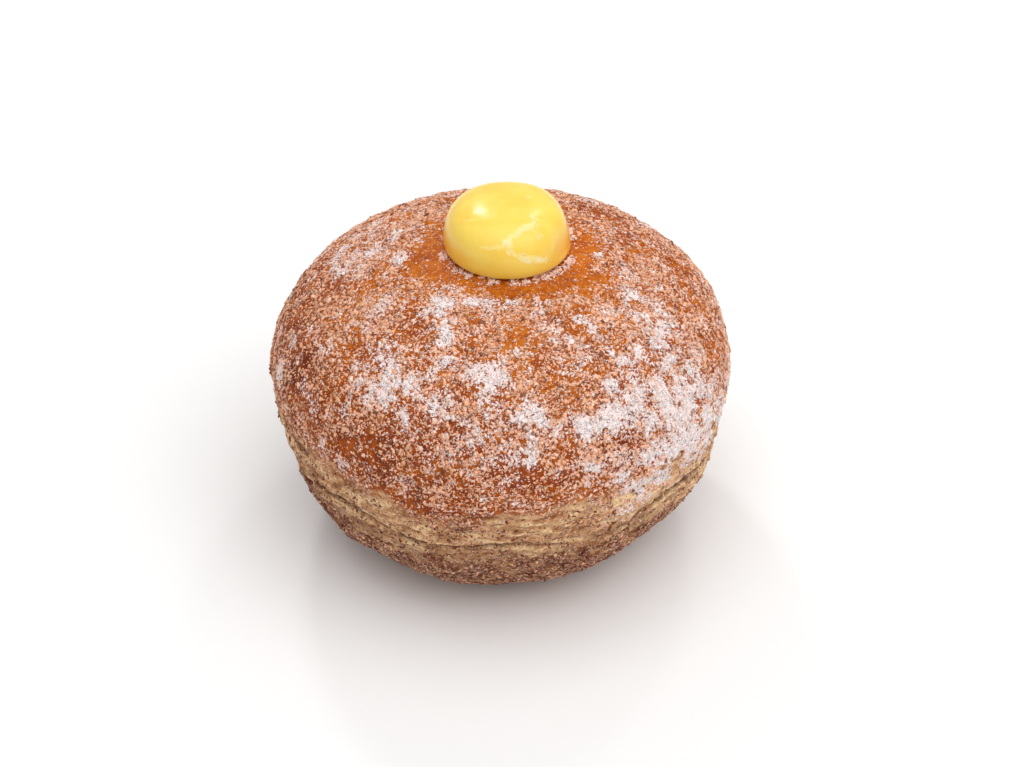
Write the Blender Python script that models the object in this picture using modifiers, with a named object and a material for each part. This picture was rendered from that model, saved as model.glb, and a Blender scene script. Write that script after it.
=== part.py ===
"""A round filled doughnut: a puffy dough body with a dollop of custard piped into its top.

Run with blender --background --python part.py, or from Blender's text editor.
Lengths are in metres and +Z is up. The origin is on the table, under the middle of the body.
The front of the doughnut is toward -Y. Azimuths are turns about +Z, counted from +X.

Both pieces are turned shapes. A profile of radius and height is swept about +Z by a Screw
modifier, and the swept mesh is then made uneven by a rule, as dough and custard are.
"""

import math
from typing import NamedTuple

import bpy
import numpy as np

MM = 0.001
GAP = 0.3 * MM

# Dough: the plain form, two quarter superellipses that meet at the widest level
BODY_RADIUS = 45.0 * MM
WIDEST_LEVEL = 36.0 * MM
CROWN_RISE = 27.0 * MM
CROWN_POWER = 2.05
BELLY_DEPTH = 42.0 * MM
BELLY_POWER = 2.2
BASE_BLEND = 3.0 * MM

# Dough: the dimple on the crown and the hole that the custard was piped into
DIMPLE_DEPTH = 1.2 * MM
DIMPLE_RADIUS = 18.0 * MM
HOLE_RADIUS = 6.3 * MM
HOLE_FLOOR = 31.0 * MM
HOLE_FLOOR_ROUND = 3.0 * MM
RIM_ROUND = 1.0 * MM
HOLE_LEAN = 1.4 * MM
LEAN_FULL_RADIUS = 15.0 * MM
LEAN_END_RADIUS = 40.0 * MM
LEAN_START_LEVEL = 12.0 * MM
LEAN_FULL_LEVEL = 28.0 * MM

# Dough: the pinched waist between the two fried halves, with a crease that comes and goes
WAIST_LEVEL = 23.4 * MM
WAIST_SPREAD = 3.6 * MM
WAIST_DEPTH = 0.6 * MM
CREASE_SPREAD = 0.7 * MM
CREASE_DEPTH = 0.75 * MM
CREASE_DEPTH_CHANGE = 0.2
CREASE_CHANGE_TURNS = 3
CREASE_CHANGE_PHASE = 0.4
CREASE_BREAK_AZIMUTH = -72.0
CREASE_BREAK_WIDTH = 9.0
CREASE_BREAK_SHARE = 0.8
SECOND_CREASE_DROP = 2.6 * MM
SECOND_CREASE_DEPTH = 0.5 * MM
SECOND_CREASE_AZIMUTH = -52.0
SECOND_CREASE_WIDTH = 18.0
SLOW_WANDER = 0.4 * MM
SLOW_WANDER_TURNS = 2
SLOW_WANDER_PHASE = 0.6
QUICK_WANDER = 1.3 * MM
QUICK_WANDER_TURNS = 8
QUICK_WANDER_CREST = -42.0
QUICK_WANDER_SIDE_SHARE = 0.6
QUICK_WANDER_FRONT_SHARE = 0.4
WANDER_REACH = 8.0 * MM

# Dough: low waves all over, and the calm zone round the hole where there are none
WAVE_SEED = 7
WAVE_COUNT = 9
WAVE_HEIGHT = 0.22 * MM
FIRST_WAVE_TURNS = 2
LEAST_WAVE_LIFT = 60.0
MOST_WAVE_LIFT = 190.0
CALM_RADIUS = 13.0 * MM
FREE_RADIUS = 21.0 * MM
BASE_CALM = 0.4 * MM
BASE_FREE = 6.0 * MM

# Custard: the dollop above the crown
DOLLOP_RADIUS = 12.4 * MM
DOLLOP_LEVEL = 64.4 * MM
DOLLOP_RISE = 8.0 * MM
DOLLOP_POWER = 2.8
DOLLOP_TUCK = 1.5 * MM
DOLLOP_FREE_RISE = 2.0 * MM
DOLLOP_WAVE = 0.15 * MM
DOLLOP_WAVE_TURNS = 3
DOLLOP_WAVE_TWIST = 450.0
DOLLOP_SQUARENESS = 0.11 * MM
DOLLOP_SQUARE_PHASE = 3.0

# Sweep: turns round the axis and the spacing of the rings along each profile
DOUGH_STEPS = 84
DOUGH_RINGS = 42
CUSTARD_STEPS = 52
CUSTARD_RINGS = 22
ROUND_POINTS = 4
WAIST_RING_CLOSENESS = 2.6
WAIST_RING_REACH = 3.0 * MM
FINE_CURVE_POINTS = 400
MERGE_DISTANCE = 0.00001

# Colours of the two materials, as linear red, green and blue
CRUST_COLOUR = (0.47, 0.19, 0.055)
CUSTARD_COLOUR = (0.95, 0.66, 0.13)


class Swell(NamedTuple):
    """A soft rise or dent in a surface, in degrees and metres."""

    azimuth: float
    level: float
    width: float
    spread: float
    rise: float


DOUGH_SWELLS = (
    Swell(azimuth=-19.0, level=16 * MM, width=16.0, spread=9 * MM, rise=0.8 * MM),
    Swell(azimuth=-46.0, level=9 * MM, width=14.0, spread=8 * MM, rise=-0.65 * MM),
    Swell(azimuth=-100.0, level=6 * MM, width=18.0, spread=7 * MM, rise=0.55 * MM),
    Swell(azimuth=226.0, level=9 * MM, width=12.0, spread=8 * MM, rise=0.3 * MM),
    Swell(azimuth=219.0, level=11 * MM, width=7.0, spread=5 * MM, rise=0.6 * MM),
    Swell(azimuth=180.0, level=34 * MM, width=14.0, spread=10 * MM, rise=0.5 * MM),
    Swell(azimuth=158.0, level=44 * MM, width=14.0, spread=8 * MM, rise=-0.25 * MM),
    Swell(azimuth=19.0, level=44 * MM, width=14.0, spread=8 * MM, rise=0.35 * MM),
    Swell(azimuth=200.0, level=54 * MM, width=18.0, spread=5 * MM, rise=-0.35 * MM),
    Swell(azimuth=-62.0, level=52 * MM, width=20.0, spread=6 * MM, rise=0.35 * MM),
    Swell(azimuth=95.0, level=20 * MM, width=28.0, spread=9 * MM, rise=0.6 * MM),
)

CUSTARD_SWELLS = (
    Swell(azimuth=-32.0, level=67 * MM, width=17.0, spread=6 * MM, rise=-0.95 * MM),
    Swell(azimuth=14.0, level=69 * MM, width=34.0, spread=5 * MM, rise=-1.4 * MM),
    Swell(azimuth=90.0, level=69 * MM, width=30.0, spread=8 * MM, rise=-0.8 * MM),
    Swell(azimuth=150.0, level=68 * MM, width=40.0, spread=8 * MM, rise=-0.3 * MM),
)


def smooth_step(value, start, end):
    """Return 0 below start and 1 above end, with an even S-curve between them."""
    part = np.clip((value - start) / (end - start), 0.0, 1.0)
    return part * part * (3.0 - 2.0 * part)


def smooth_floor(height, blend):
    """Return the height kept at or above zero, with a rounded corner of the blend's size."""
    overlap = np.clip(1.0 - np.abs(height) / blend, 0.0, 1.0)
    return np.maximum(height, 0.0) + overlap**2 * blend / 4.0


def turn_between(azimuth, centre):
    """Return the signed turn in degrees from a centre azimuth, between -180 and 180."""
    return (np.degrees(azimuth) - centre + 180.0) % 360.0 - 180.0


def swell_rise(azimuth, level, swells):
    """Return the summed rise of the swells: a bell in azimuth times a bell in height each."""
    total = np.zeros_like(level)
    for swell in swells:
        across = turn_between(azimuth, swell.azimuth) / swell.width
        along = (level - swell.level) / swell.spread
        total += swell.rise * np.exp(-across**2 - along**2)
    return total


def wave_rise(azimuth, level):
    """Return low waves: cosines of whole turns round the body, crossed by cosines in height."""
    draw = np.random.default_rng(WAVE_SEED)
    total = np.zeros_like(level)
    for wave in range(WAVE_COUNT):
        turns = FIRST_WAVE_TURNS + wave
        lift = draw.uniform(LEAST_WAVE_LIFT, MOST_WAVE_LIFT)
        phase = draw.uniform(0.0, 2.0 * math.pi, 2)
        size = WAVE_HEIGHT / math.sqrt(turns)
        total += size * np.cos(turns * azimuth + phase[0]) * np.cos(lift * level + phase[1])
    return total


def arc(centre, radius, start, end):
    """Return points on an arc of the profile plane, from one angle in degrees to another."""
    angle = np.radians(np.linspace(start, end, ROUND_POINTS))
    across = centre[0] + radius * np.cos(angle)
    up = centre[1] + radius * np.sin(angle)
    return np.column_stack((across, up))


def crown_level(radius):
    """Return the height of the plain crown at a radius: a superellipse less the dimple."""
    flat = 1.0 - (radius / BODY_RADIUS) ** CROWN_POWER
    dome = WIDEST_LEVEL + CROWN_RISE * np.clip(flat, 0.0, 1.0) ** (1.0 / CROWN_POWER)
    inside = np.clip(radius / DIMPLE_RADIUS, 0.0, 1.0)
    return dome - DIMPLE_DEPTH * 0.5 * (1.0 + np.cos(math.pi * inside))


def crown_curve():
    """Return the crown's profile from the rim of the hole out to the widest level."""
    turn = np.linspace(0.0, math.pi / 2, FINE_CURVE_POINTS)
    radius = BODY_RADIUS * np.sin(turn) ** (2.0 / CROWN_POWER)
    radius = radius[radius > HOLE_RADIUS + RIM_ROUND]
    return np.column_stack((radius, crown_level(radius)))


def belly_curve():
    """Return the profile from below the widest level down to the flat base and its middle."""
    turn = np.linspace(0.0, math.pi / 2, FINE_CURVE_POINTS)[1:]
    radius = BODY_RADIUS * np.cos(turn) ** (2.0 / BELLY_POWER)
    level = WIDEST_LEVEL - BELLY_DEPTH * np.sin(turn) ** (2.0 / BELLY_POWER)
    level = smooth_floor(level, BASE_BLEND)
    side = np.column_stack((radius, level))[level > 0.0]
    foot = BODY_RADIUS * (1.0 - ((WIDEST_LEVEL + BASE_BLEND) / BELLY_DEPTH) ** BELLY_POWER)
    foot_radius = BODY_RADIUS * (foot / BODY_RADIUS) ** (1.0 / BELLY_POWER)
    return np.vstack((side, (foot_radius, 0.0)))


def spaced_along(curve, count, weight):
    """Return a count of points along a fine curve, closer where the weight is greater."""
    steps = np.linalg.norm(np.diff(curve, axis=0), axis=1)
    middles = (curve[1:] + curve[:-1]) / 2.0
    travel = np.concatenate(((0.0,), np.cumsum(steps * weight(middles))))
    wanted = np.linspace(0.0, travel[-1], count)
    radius = np.interp(wanted, travel, curve[:, 0])
    level = np.interp(wanted, travel, curve[:, 1])
    return np.column_stack((radius, level))


def dough_weight(points):
    """Return how closely the dough's rings are set: closest at the waist and its creases."""
    crease_middle = WAIST_LEVEL - SECOND_CREASE_DROP / 2.0
    outer = points[:, 0] > BODY_RADIUS / 2.0
    near = np.exp(-(((points[:, 1] - crease_middle) / WAIST_RING_REACH) ** 2))
    return 1.0 + WAIST_RING_CLOSENESS * near * outer


def dough_profile():
    """Return the dough's profile: the well's floor and wall, the rim, the crown, the belly."""
    rim_centre = (HOLE_RADIUS + RIM_ROUND, crown_level(HOLE_RADIUS + RIM_ROUND) - RIM_ROUND)
    floor_centre = (HOLE_RADIUS - HOLE_FLOOR_ROUND, HOLE_FLOOR + HOLE_FLOOR_ROUND)
    floor = arc(floor_centre, HOLE_FLOOR_ROUND, -90.0, 0.0)
    rim = arc(rim_centre, RIM_ROUND, 180.0, 90.0)
    outside = np.vstack((crown_curve(), belly_curve()))
    outside = spaced_along(outside, DOUGH_RINGS, dough_weight)
    return np.vstack(((0.0, HOLE_FLOOR), floor, rim, outside, (0.0, 0.0)))


def custard_profile():
    """Return the custard's profile: the dome, its tucked edge, the underside and the neck."""
    turn = np.linspace(0.0, math.pi / 2, FINE_CURVE_POINTS)
    radius = DOLLOP_RADIUS * np.sin(turn) ** (2.0 / DOLLOP_POWER)
    level = DOLLOP_LEVEL + DOLLOP_RISE * np.cos(turn) ** (2.0 / DOLLOP_POWER)
    dome = np.column_stack((radius, level))

    seat_radius = DOLLOP_RADIUS - DOLLOP_TUCK
    drop = DOLLOP_LEVEL - crown_level(seat_radius) - GAP
    tuck_radius = seat_radius + DOLLOP_TUCK * np.cos(turn)
    tuck_level = DOLLOP_LEVEL - drop * np.sin(turn)
    outside = np.vstack((dome, np.column_stack((tuck_radius, tuck_level))[1:]))
    outside = spaced_along(outside, CUSTARD_RINGS, lambda points: np.ones(len(points)))

    rim_radius = HOLE_RADIUS + RIM_ROUND
    seat = np.linspace(seat_radius, rim_radius, ROUND_POINTS)[1:-1]
    underside = np.column_stack((seat, crown_level(seat) + GAP))
    rim_centre = (rim_radius, crown_level(rim_radius) - RIM_ROUND)
    throat = arc(rim_centre, RIM_ROUND + GAP, 90.0, 180.0)
    plug_centre = (HOLE_RADIUS - HOLE_FLOOR_ROUND, HOLE_FLOOR + HOLE_FLOOR_ROUND)
    plug = arc(plug_centre, HOLE_FLOOR_ROUND - GAP, 0.0, -90.0)
    return np.vstack((outside, underside, throat, plug, (0.0, HOLE_FLOOR + GAP)))


def waist_wander(azimuth):
    """Return how far the waist climbs or falls: a slow cosine and a quick one, most in front."""
    slow = SLOW_WANDER * np.cos(SLOW_WANDER_TURNS * azimuth + SLOW_WANDER_PHASE)
    crest = math.radians(QUICK_WANDER_CREST)
    quick = QUICK_WANDER * np.cos(QUICK_WANDER_TURNS * (azimuth - crest))
    share = QUICK_WANDER_SIDE_SHARE - QUICK_WANDER_FRONT_SHARE * np.sin(azimuth)
    return slow + quick * share


def waist_sink(azimuth, level):
    """Return the depth of the waist: a wide bell, a sharp crease in it and a second below."""
    wide = (level - WAIST_LEVEL) / WAIST_SPREAD
    sharp = (level - WAIST_LEVEL) / CREASE_SPREAD
    second = (level - WAIST_LEVEL + SECOND_CREASE_DROP) / CREASE_SPREAD
    second_turn = turn_between(azimuth, SECOND_CREASE_AZIMUTH) / SECOND_CREASE_WIDTH
    break_turn = turn_between(azimuth, CREASE_BREAK_AZIMUTH) / CREASE_BREAK_WIDTH
    change = CREASE_DEPTH_CHANGE * np.cos(CREASE_CHANGE_TURNS * azimuth + CREASE_CHANGE_PHASE)
    kept = (1.0 + change) * (1.0 - CREASE_BREAK_SHARE * np.exp(-(break_turn**2)))
    pinch = WAIST_DEPTH * np.exp(-(wide**2))
    crease = CREASE_DEPTH * kept * np.exp(-(sharp**2))
    lower = SECOND_CREASE_DEPTH * np.exp(-(second**2) - second_turn**2)
    return pinch + crease + lower


def uneven_dough(points):
    """Return the turned dough's points moved to their uneven places.

    Each point moves along the plain form's outward slope by the swells and waves less the
    waist. The rings near the waist also rise and fall with it, and the crown's middle leans
    to the side with its hole. The flat base and the calm zone round the hole don't swell.
    """
    radius = np.hypot(points[:, 0], points[:, 1])
    azimuth = np.arctan2(points[:, 1], points[:, 0])
    level = points[:, 2]

    above = level - WIDEST_LEVEL
    half_height = np.where(above > 0.0, CROWN_RISE, BELLY_DEPTH)
    slope_out = radius / BODY_RADIUS**2
    slope_up = above / half_height**2
    length = np.maximum(np.hypot(slope_out, slope_up), 1.0 / BODY_RADIUS)

    free = smooth_step(radius, CALM_RADIUS, FREE_RADIUS) * smooth_step(level, BASE_CALM, BASE_FREE)
    rise = swell_rise(azimuth, level, DOUGH_SWELLS) + wave_rise(azimuth, level)
    rise = free * (rise - waist_sink(azimuth, level))
    near_waist = np.exp(-(((level - WAIST_LEVEL) / WANDER_REACH) ** 2))

    out = radius + rise * slope_out / length
    up = level + rise * slope_up / length + free * near_waist * waist_wander(azimuth)
    inner = 1.0 - smooth_step(radius, LEAN_FULL_RADIUS, LEAN_END_RADIUS)
    lean = HOLE_LEAN * inner * smooth_step(level, LEAN_START_LEVEL, LEAN_FULL_LEVEL)
    return np.column_stack((out * np.cos(azimuth) + lean, out * np.sin(azimuth), up))


def uneven_custard(points):
    """Return the turned custard's points, moved over the hole and uneven above its seat.

    Each point moves outwards by the swells, the waves and a four-sided squareness.
    """
    radius = np.hypot(points[:, 0], points[:, 1])
    azimuth = np.arctan2(points[:, 1], points[:, 0])
    level = points[:, 2]

    seat = crown_level(DOLLOP_RADIUS - DOLLOP_TUCK) + GAP
    free = smooth_step(level, seat, seat + DOLLOP_FREE_RISE)
    edge = np.clip(radius / DOLLOP_RADIUS, 0.0, 1.0) ** 2
    rise = swell_rise(azimuth, level, CUSTARD_SWELLS)
    rise += DOLLOP_SQUARENESS * np.cos(4.0 * azimuth + DOLLOP_SQUARE_PHASE)
    rise += DOLLOP_WAVE * np.cos(DOLLOP_WAVE_TURNS * azimuth + DOLLOP_WAVE_TWIST * level)
    out = radius + free * edge * rise
    across = out * np.cos(azimuth) + HOLE_LEAN
    return np.column_stack((across, out * np.sin(azimuth), level))


def make_material(name, colour, roughness, subsurface):
    """Return a Principled material with a base colour, a roughness and some inner light."""
    material = bpy.data.materials.new(name)
    material.use_nodes = True
    shader = material.node_tree.nodes["Principled BSDF"]
    shader.inputs["Base Color"].default_value = (*colour, 1.0)
    shader.inputs["Roughness"].default_value = roughness
    shader.inputs["Metallic"].default_value = 0.0
    shader.inputs["Subsurface Weight"].default_value = subsurface
    return material


def turned_mesh(name, profile, steps, collection):
    """Return the mesh that a profile in the XZ plane sweeps in one turn about +Z."""
    points = [(radius, 0.0, level) for radius, level in profile]
    edges = [(index, index + 1) for index in range(len(points) - 1)]
    outline = bpy.data.meshes.new(name + "_profile")
    outline.from_pydata(points, edges, [])
    holder = bpy.data.objects.new(name + "_profile", outline)
    collection.objects.link(holder)

    sweep = holder.modifiers.new("sweep", "SCREW")
    sweep.axis = "Z"
    sweep.angle = 2.0 * math.pi
    sweep.steps = steps
    sweep.render_steps = steps
    sweep.use_merge_vertices = True
    sweep.merge_threshold = MERGE_DISTANCE

    depsgraph = bpy.context.evaluated_depsgraph_get()
    mesh = bpy.data.meshes.new_from_object(holder.evaluated_get(depsgraph))
    bpy.data.objects.remove(holder)
    bpy.data.meshes.remove(outline)
    return mesh


def make_piece(name, profile, steps, uneven, material, collection):
    """Return a named object: a turned profile made uneven by its rule, shaded smooth."""
    mesh = turned_mesh(name, profile, steps, collection)
    mesh.name = name
    points = np.empty(len(mesh.vertices) * 3)
    mesh.vertices.foreach_get("co", points)
    moved = uneven(points.reshape(-1, 3))
    mesh.vertices.foreach_set("co", moved.ravel())
    mesh.update()
    mesh.materials.clear()
    mesh.materials.append(material)
    mesh.shade_smooth()
    piece = bpy.data.objects.new(name, mesh)
    collection.objects.link(piece)
    return piece


def clear_scene():
    """Remove every object from the file."""
    for item in list(bpy.data.objects):
        bpy.data.objects.remove(item)


def main():
    """Build the doughnut's two pieces in a collection of their own."""
    clear_scene()
    collection = bpy.data.collections.new("custard_doughnut")
    bpy.context.scene.collection.children.link(collection)

    crust = make_material("fried_dough", CRUST_COLOUR, roughness=0.62, subsurface=0.05)
    cream = make_material("custard", CUSTARD_COLOUR, roughness=0.32, subsurface=0.25)
    make_piece("dough", dough_profile(), DOUGH_STEPS, uneven_dough, crust, collection)
    make_piece("custard", custard_profile(), CUSTARD_STEPS, uneven_custard, cream, collection)


main()
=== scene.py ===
"""A custard filled doughnut: the fried crust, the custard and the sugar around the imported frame.

Lengths are in metres, azimuths in degrees counted from +X about +Z, and +Z is up. The front of
the doughnut is toward -Y. A place on the crust is an azimuth and a reach, which is the distance
travelled along the plain profile from the middle of the crown outwards and down.
"""

import logging
import math
from dataclasses import dataclass
from enum import Enum
from itertools import combinations

import bpy
import numpy as np
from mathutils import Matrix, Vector


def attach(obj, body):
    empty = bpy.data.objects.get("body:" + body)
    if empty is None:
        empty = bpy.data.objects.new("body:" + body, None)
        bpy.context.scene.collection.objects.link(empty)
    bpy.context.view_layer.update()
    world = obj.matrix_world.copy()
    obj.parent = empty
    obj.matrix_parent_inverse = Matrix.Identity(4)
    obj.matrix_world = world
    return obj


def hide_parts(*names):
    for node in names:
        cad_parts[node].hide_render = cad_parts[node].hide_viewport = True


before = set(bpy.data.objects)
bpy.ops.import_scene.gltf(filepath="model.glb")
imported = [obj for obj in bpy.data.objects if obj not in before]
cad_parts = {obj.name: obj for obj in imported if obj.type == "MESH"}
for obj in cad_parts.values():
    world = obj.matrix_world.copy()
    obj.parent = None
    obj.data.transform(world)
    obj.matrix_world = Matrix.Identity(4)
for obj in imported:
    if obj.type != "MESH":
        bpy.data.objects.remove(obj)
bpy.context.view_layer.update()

MM = 0.001
ROOT_BODY = "root"
LOG = logging.getLogger("doughnut")

Colour = tuple[float, float, float]
Array = np.ndarray
Bells = tuple[tuple[float, float, float], ...]
Socket = bpy.types.NodeSocket


class Field(Enum):
    """What is stored at each vertex of the crust or the custard, for the materials to read."""

    BROWNING = "browning"
    BAND = "band"
    # Below the band: the darker lower crust, darkened further toward the bottom as painted shade.
    SOLE = "sole"
    # Painted shade along the creases.
    CREASE = "crease"
    SUGAR = "sugar"
    POWDER = "powder"
    GLOSS = "gloss"
    SMEAR = "smear"
    # The custard's low sides: painted shade and painted reflection of the crust.
    DEEP = "deep"
    TINT = "tint"


class Slot(Enum):
    """The names of the material slots."""

    CRUST = "crust"
    CUSTARD = "custard"
    SUGAR = "sugar"


def srgb(red: float, green: float, blue: float) -> Colour:
    """Return the linear colour of a display colour.

    Args:
        red: red from 0 to 255.
        green: green from 0 to 255.
        blue: blue from 0 to 255.

    Returns:
        Linear red, green and blue, by the display standard's curve.
    """
    parts = [channel / 255.0 for channel in (red, green, blue)]
    return tuple(part / 12.92 if part <= 0.04045 else ((part + 0.055) / 1.055) ** 2.4 for part in parts)


def smooth_step(value: Array, start: float | Array, end: float | Array) -> Array:
    """Return 0 before start, 1 after end and the even S-curve 3t2 - 2t3 between them.

    Args:
        value: the numbers to judge.
        start: where the rise begins.
        end: where the rise is complete.

    Returns:
        The share of the rise at each value.
    """
    part = np.clip((value - start) / (end - start), 0.0, 1.0)
    return part * part * (3.0 - 2.0 * part)


def smooth_floor(height: Array, blend: float) -> Array:
    """Return a height kept at or above zero, with a corner rounded over the blend."""
    overlap = np.clip(1.0 - np.abs(height) / blend, 0.0, 1.0)
    return np.maximum(height, 0.0) + overlap**2 * blend / 4.0


def turn_between(azimuth: Array, centre: float) -> Array:
    """Return the signed turn from a centre to each azimuth, between -180 and 180 degrees."""
    return (azimuth - centre + 180.0) % 360.0 - 180.0


def bell(offset: Array, width: float) -> Array:
    """Return exp(-(offset / width)^2)."""
    return np.exp(-((offset / width) ** 2))


def swollen(azimuth: Array, swells: Bells) -> Array:
    """Return the sum of bells round the axis.

    Args:
        azimuth: azimuth of each place.
        swells: the azimuth, the width in degrees and the height of each bell.

    Returns:
        The height at each place.
    """
    return sum(height * bell(turn_between(azimuth, centre), width) for centre, width, height in swells)


def arc(centre: tuple[float, float], radius: float, start: float, end: float, count: int) -> Array:
    """Return points on an arc of the profile plane.

    Args:
        centre: radius and level of the arc's centre.
        radius: the arc's own radius.
        start: first angle in degrees, counted from outwards to up.
        end: last angle in degrees.
        count: number of points.

    Returns:
        An array of radius and level pairs: the centre plus the radius times cosine and sine.
    """
    angle = np.radians(np.linspace(start, end, count))
    return np.column_stack((centre[0] + radius * np.cos(angle), centre[1] + radius * np.sin(angle)))


@dataclass(frozen=True)
class Ripple:
    """Smooth random relief: cosines of the place along random directions, added up."""

    seed: int
    wavelength: float
    waves: int = 26
    upright: float = 1.0
    least_share: float = 0.6
    most_share: float = 1.5

    def at(self, points: Array) -> Array:
        """Return the relief at each point, spread about zero with a standard deviation of one.

        The formula is the sum of cos(direction . point * wave number + phase) times the root
        of 2 / waves. The upright factor multiplies the vertical part of each direction.

        Args:
            points: places in metres, with x, y and z along the last axis.

        Returns:
            One number for each place.
        """
        draw = np.random.default_rng(self.seed)
        ways = draw.normal(size=(3, self.waves))
        ways /= np.linalg.norm(ways, axis=0)
        ways[2] *= self.upright
        shares = draw.uniform(self.least_share, self.most_share, self.waves)
        ways *= 2.0 * math.pi / self.wavelength * shares
        phases = draw.uniform(0.0, 2.0 * math.pi, self.waves)
        return np.cos(points @ ways + phases).sum(axis=-1) * math.sqrt(2.0 / self.waves)


@dataclass(frozen=True)
class Cloud:
    """Rough-edged random relief: a sum of ripples, each finer and lower than the one before."""

    seed: int
    wavelength: float
    octaves: int = 3
    upright: float = 1.0
    finer: float = 2.3
    lower: float = 0.62

    def at(self, points: Array) -> Array:
        """Return the relief at each point, with a standard deviation of about one.

        Args:
            points: places in metres, with x, y and z along the last axis.

        Returns:
            One number for each place.
        """
        total = np.zeros(points.shape[:-1])
        power = 0.0
        for octave in range(self.octaves):
            share = self.lower**octave
            wavelength = self.wavelength / self.finer**octave
            total += share * Ripple(self.seed + octave, wavelength, upright=self.upright).at(points)
            power += share**2
        return total / math.sqrt(power)


@dataclass(frozen=True)
class Swell:
    """A soft rise or dent: a bell in azimuth times a bell in level, or in reach."""

    azimuth: float
    level: float
    width: float
    spread: float
    rise: float

    def at(self, azimuth: Array, level: Array) -> Array:
        """Return the rise at each azimuth and level."""
        across = bell(turn_between(azimuth, self.azimuth), self.width)
        return self.rise * across * bell(level - self.level, self.spread)


@dataclass(frozen=True)
class Patch:
    """A soft oval on the crust or the custard, where the sugar lies thicker or thinner."""

    azimuth: float
    reach: float
    length: float
    width: float
    tilt: float
    strength: float

    def at(self, azimuth: Array, reach: Array, radius: Array) -> Array:
        """Return the patch's strength at each place.

        The offsets round the axis and down the profile are turned by the tilt, and the
        strength is exp(-(along / length)^2 - (across / width)^2).

        Args:
            azimuth: azimuth of each place.
            reach: reach of each place.
            radius: distance of each place from the axis.

        Returns:
            The strength, from zero to the patch's own.
        """
        aside = np.radians(turn_between(azimuth, self.azimuth)) * radius
        down = reach - self.reach
        turn = math.radians(self.tilt)
        along = aside * math.cos(turn) + down * math.sin(turn)
        across = down * math.cos(turn) - aside * math.sin(turn)
        return self.strength * bell(along, self.length) * bell(across, self.width)


def swells_from(*rows: tuple[float, ...]) -> tuple[Swell, ...]:
    """Return swells from rows of azimuth, level, width, spread and rise, lengths in mm."""
    return tuple(Swell(row[0], row[1] * MM, row[2], row[3] * MM, row[4] * MM) for row in rows)


def patches_from(*rows: tuple[float, ...]) -> tuple[Patch, ...]:
    """Return patches from rows of azimuth, reach, length, width, tilt and strength.

    Args:
        rows: one row a patch, with the reach, the length and the width in mm.

    Returns:
        The patches, in the rows' order.
    """
    return tuple(
        Patch(row[0], row[1] * MM, row[2] * MM, row[3] * MM, row[4], row[5]) for row in rows
    )


class Grid:
    """A closed turned surface: rings of points from a first pole to a last pole."""

    def __init__(self, points: Array) -> None:
        """Keep the points of the rings.

        Args:
            points: an array of rings by turns by x, y and z. The first and the last ring
                lie on the axis, and each becomes one vertex.
        """
        self.points = points
        self.fields: dict[Field, Array] = {}

    def unringed(self, values: Array) -> Array:
        """Return one row a vertex: the first pole, the rings between and the last pole."""
        inner = values[1:-1].reshape((-1, *values.shape[2:]))
        return np.concatenate((values[:1, 0], inner, values[-1:, 0]))

    def corners(self) -> tuple[Array, Array]:
        """Return the faces as vertex numbers: quads between rings, and fans at the two poles.

        Returns:
            The corner numbers one after another, and the number of corners of each face.
        """
        rings, turns = self.points.shape[0] - 2, self.points.shape[1]
        here = np.arange(turns)
        after = (here + 1) % turns
        first = 1 + np.arange(rings - 1)[:, None] * turns
        below = first + turns
        quads = np.stack((first + here, below + here, below + after, first + after), axis=-1)
        last_ring = 1 + (rings - 1) * turns
        last_pole = last_ring + turns
        top = np.stack((np.zeros_like(here), 1 + here, 1 + after), axis=-1)
        bottom = np.stack((last_ring + here, np.full_like(here, last_pole), last_ring + after), axis=-1)
        numbers = np.concatenate((quads.ravel(), top.ravel(), bottom.ravel()))
        totals = np.concatenate((np.full(quads.size // 4, 4), np.full(2 * turns, 3)))
        return numbers, totals

    def piece(self, name: str) -> bpy.types.Object:
        """Return the grid as a smooth mesh object with its fields stored at the vertices.

        Args:
            name: the object's and the mesh's name.

        Returns:
            The linked object.
        """
        numbers, totals = self.corners()
        mesh = faced_mesh(name, self.unringed(self.points), numbers, totals)
        for kind, values in self.fields.items():
            store_field(mesh, kind, self.unringed(values))
        mesh.shade_smooth()
        return linked(name, mesh)

    def sample(self, weight: Array, count: int, draw: np.random.Generator) -> tuple[Array, ...]:
        """Return random places on the surface, more where a weight is greater.

        A quad is drawn by its area times its mean weight, and the place in it is the bilinear
        mix of its four corners by two even random shares.

        Args:
            weight: weight at each ring and turn.
            count: number of places.
            draw: the random generator.

        Returns:
            The places, the outward directions there, and the ring and turn numbers.
        """
        ring_after = np.roll(self.points, -1, axis=1)
        a, b, c, d = self.points[:-1], self.points[1:], ring_after[1:], ring_after[:-1]
        normal = np.cross(c - a, d - b)
        size = np.linalg.norm(normal, axis=-1)
        weight_after = np.roll(weight, -1, axis=1)
        share = size * (weight[:-1] + weight[1:] + weight_after[1:] + weight_after[:-1])
        total = np.cumsum(share.ravel())
        chosen = np.searchsorted(total, draw.uniform(0.0, total[-1], count))
        ring, turn = np.divmod(chosen, self.points.shape[1])
        along, across = draw.uniform(size=(2, count, 1))
        near = a[ring, turn] * (1.0 - along) + b[ring, turn] * along
        far = d[ring, turn] * (1.0 - along) + c[ring, turn] * along
        outward = normal[ring, turn] / size[ring, turn][:, None]
        return near * (1.0 - across) + far * across, outward, ring, turn


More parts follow.
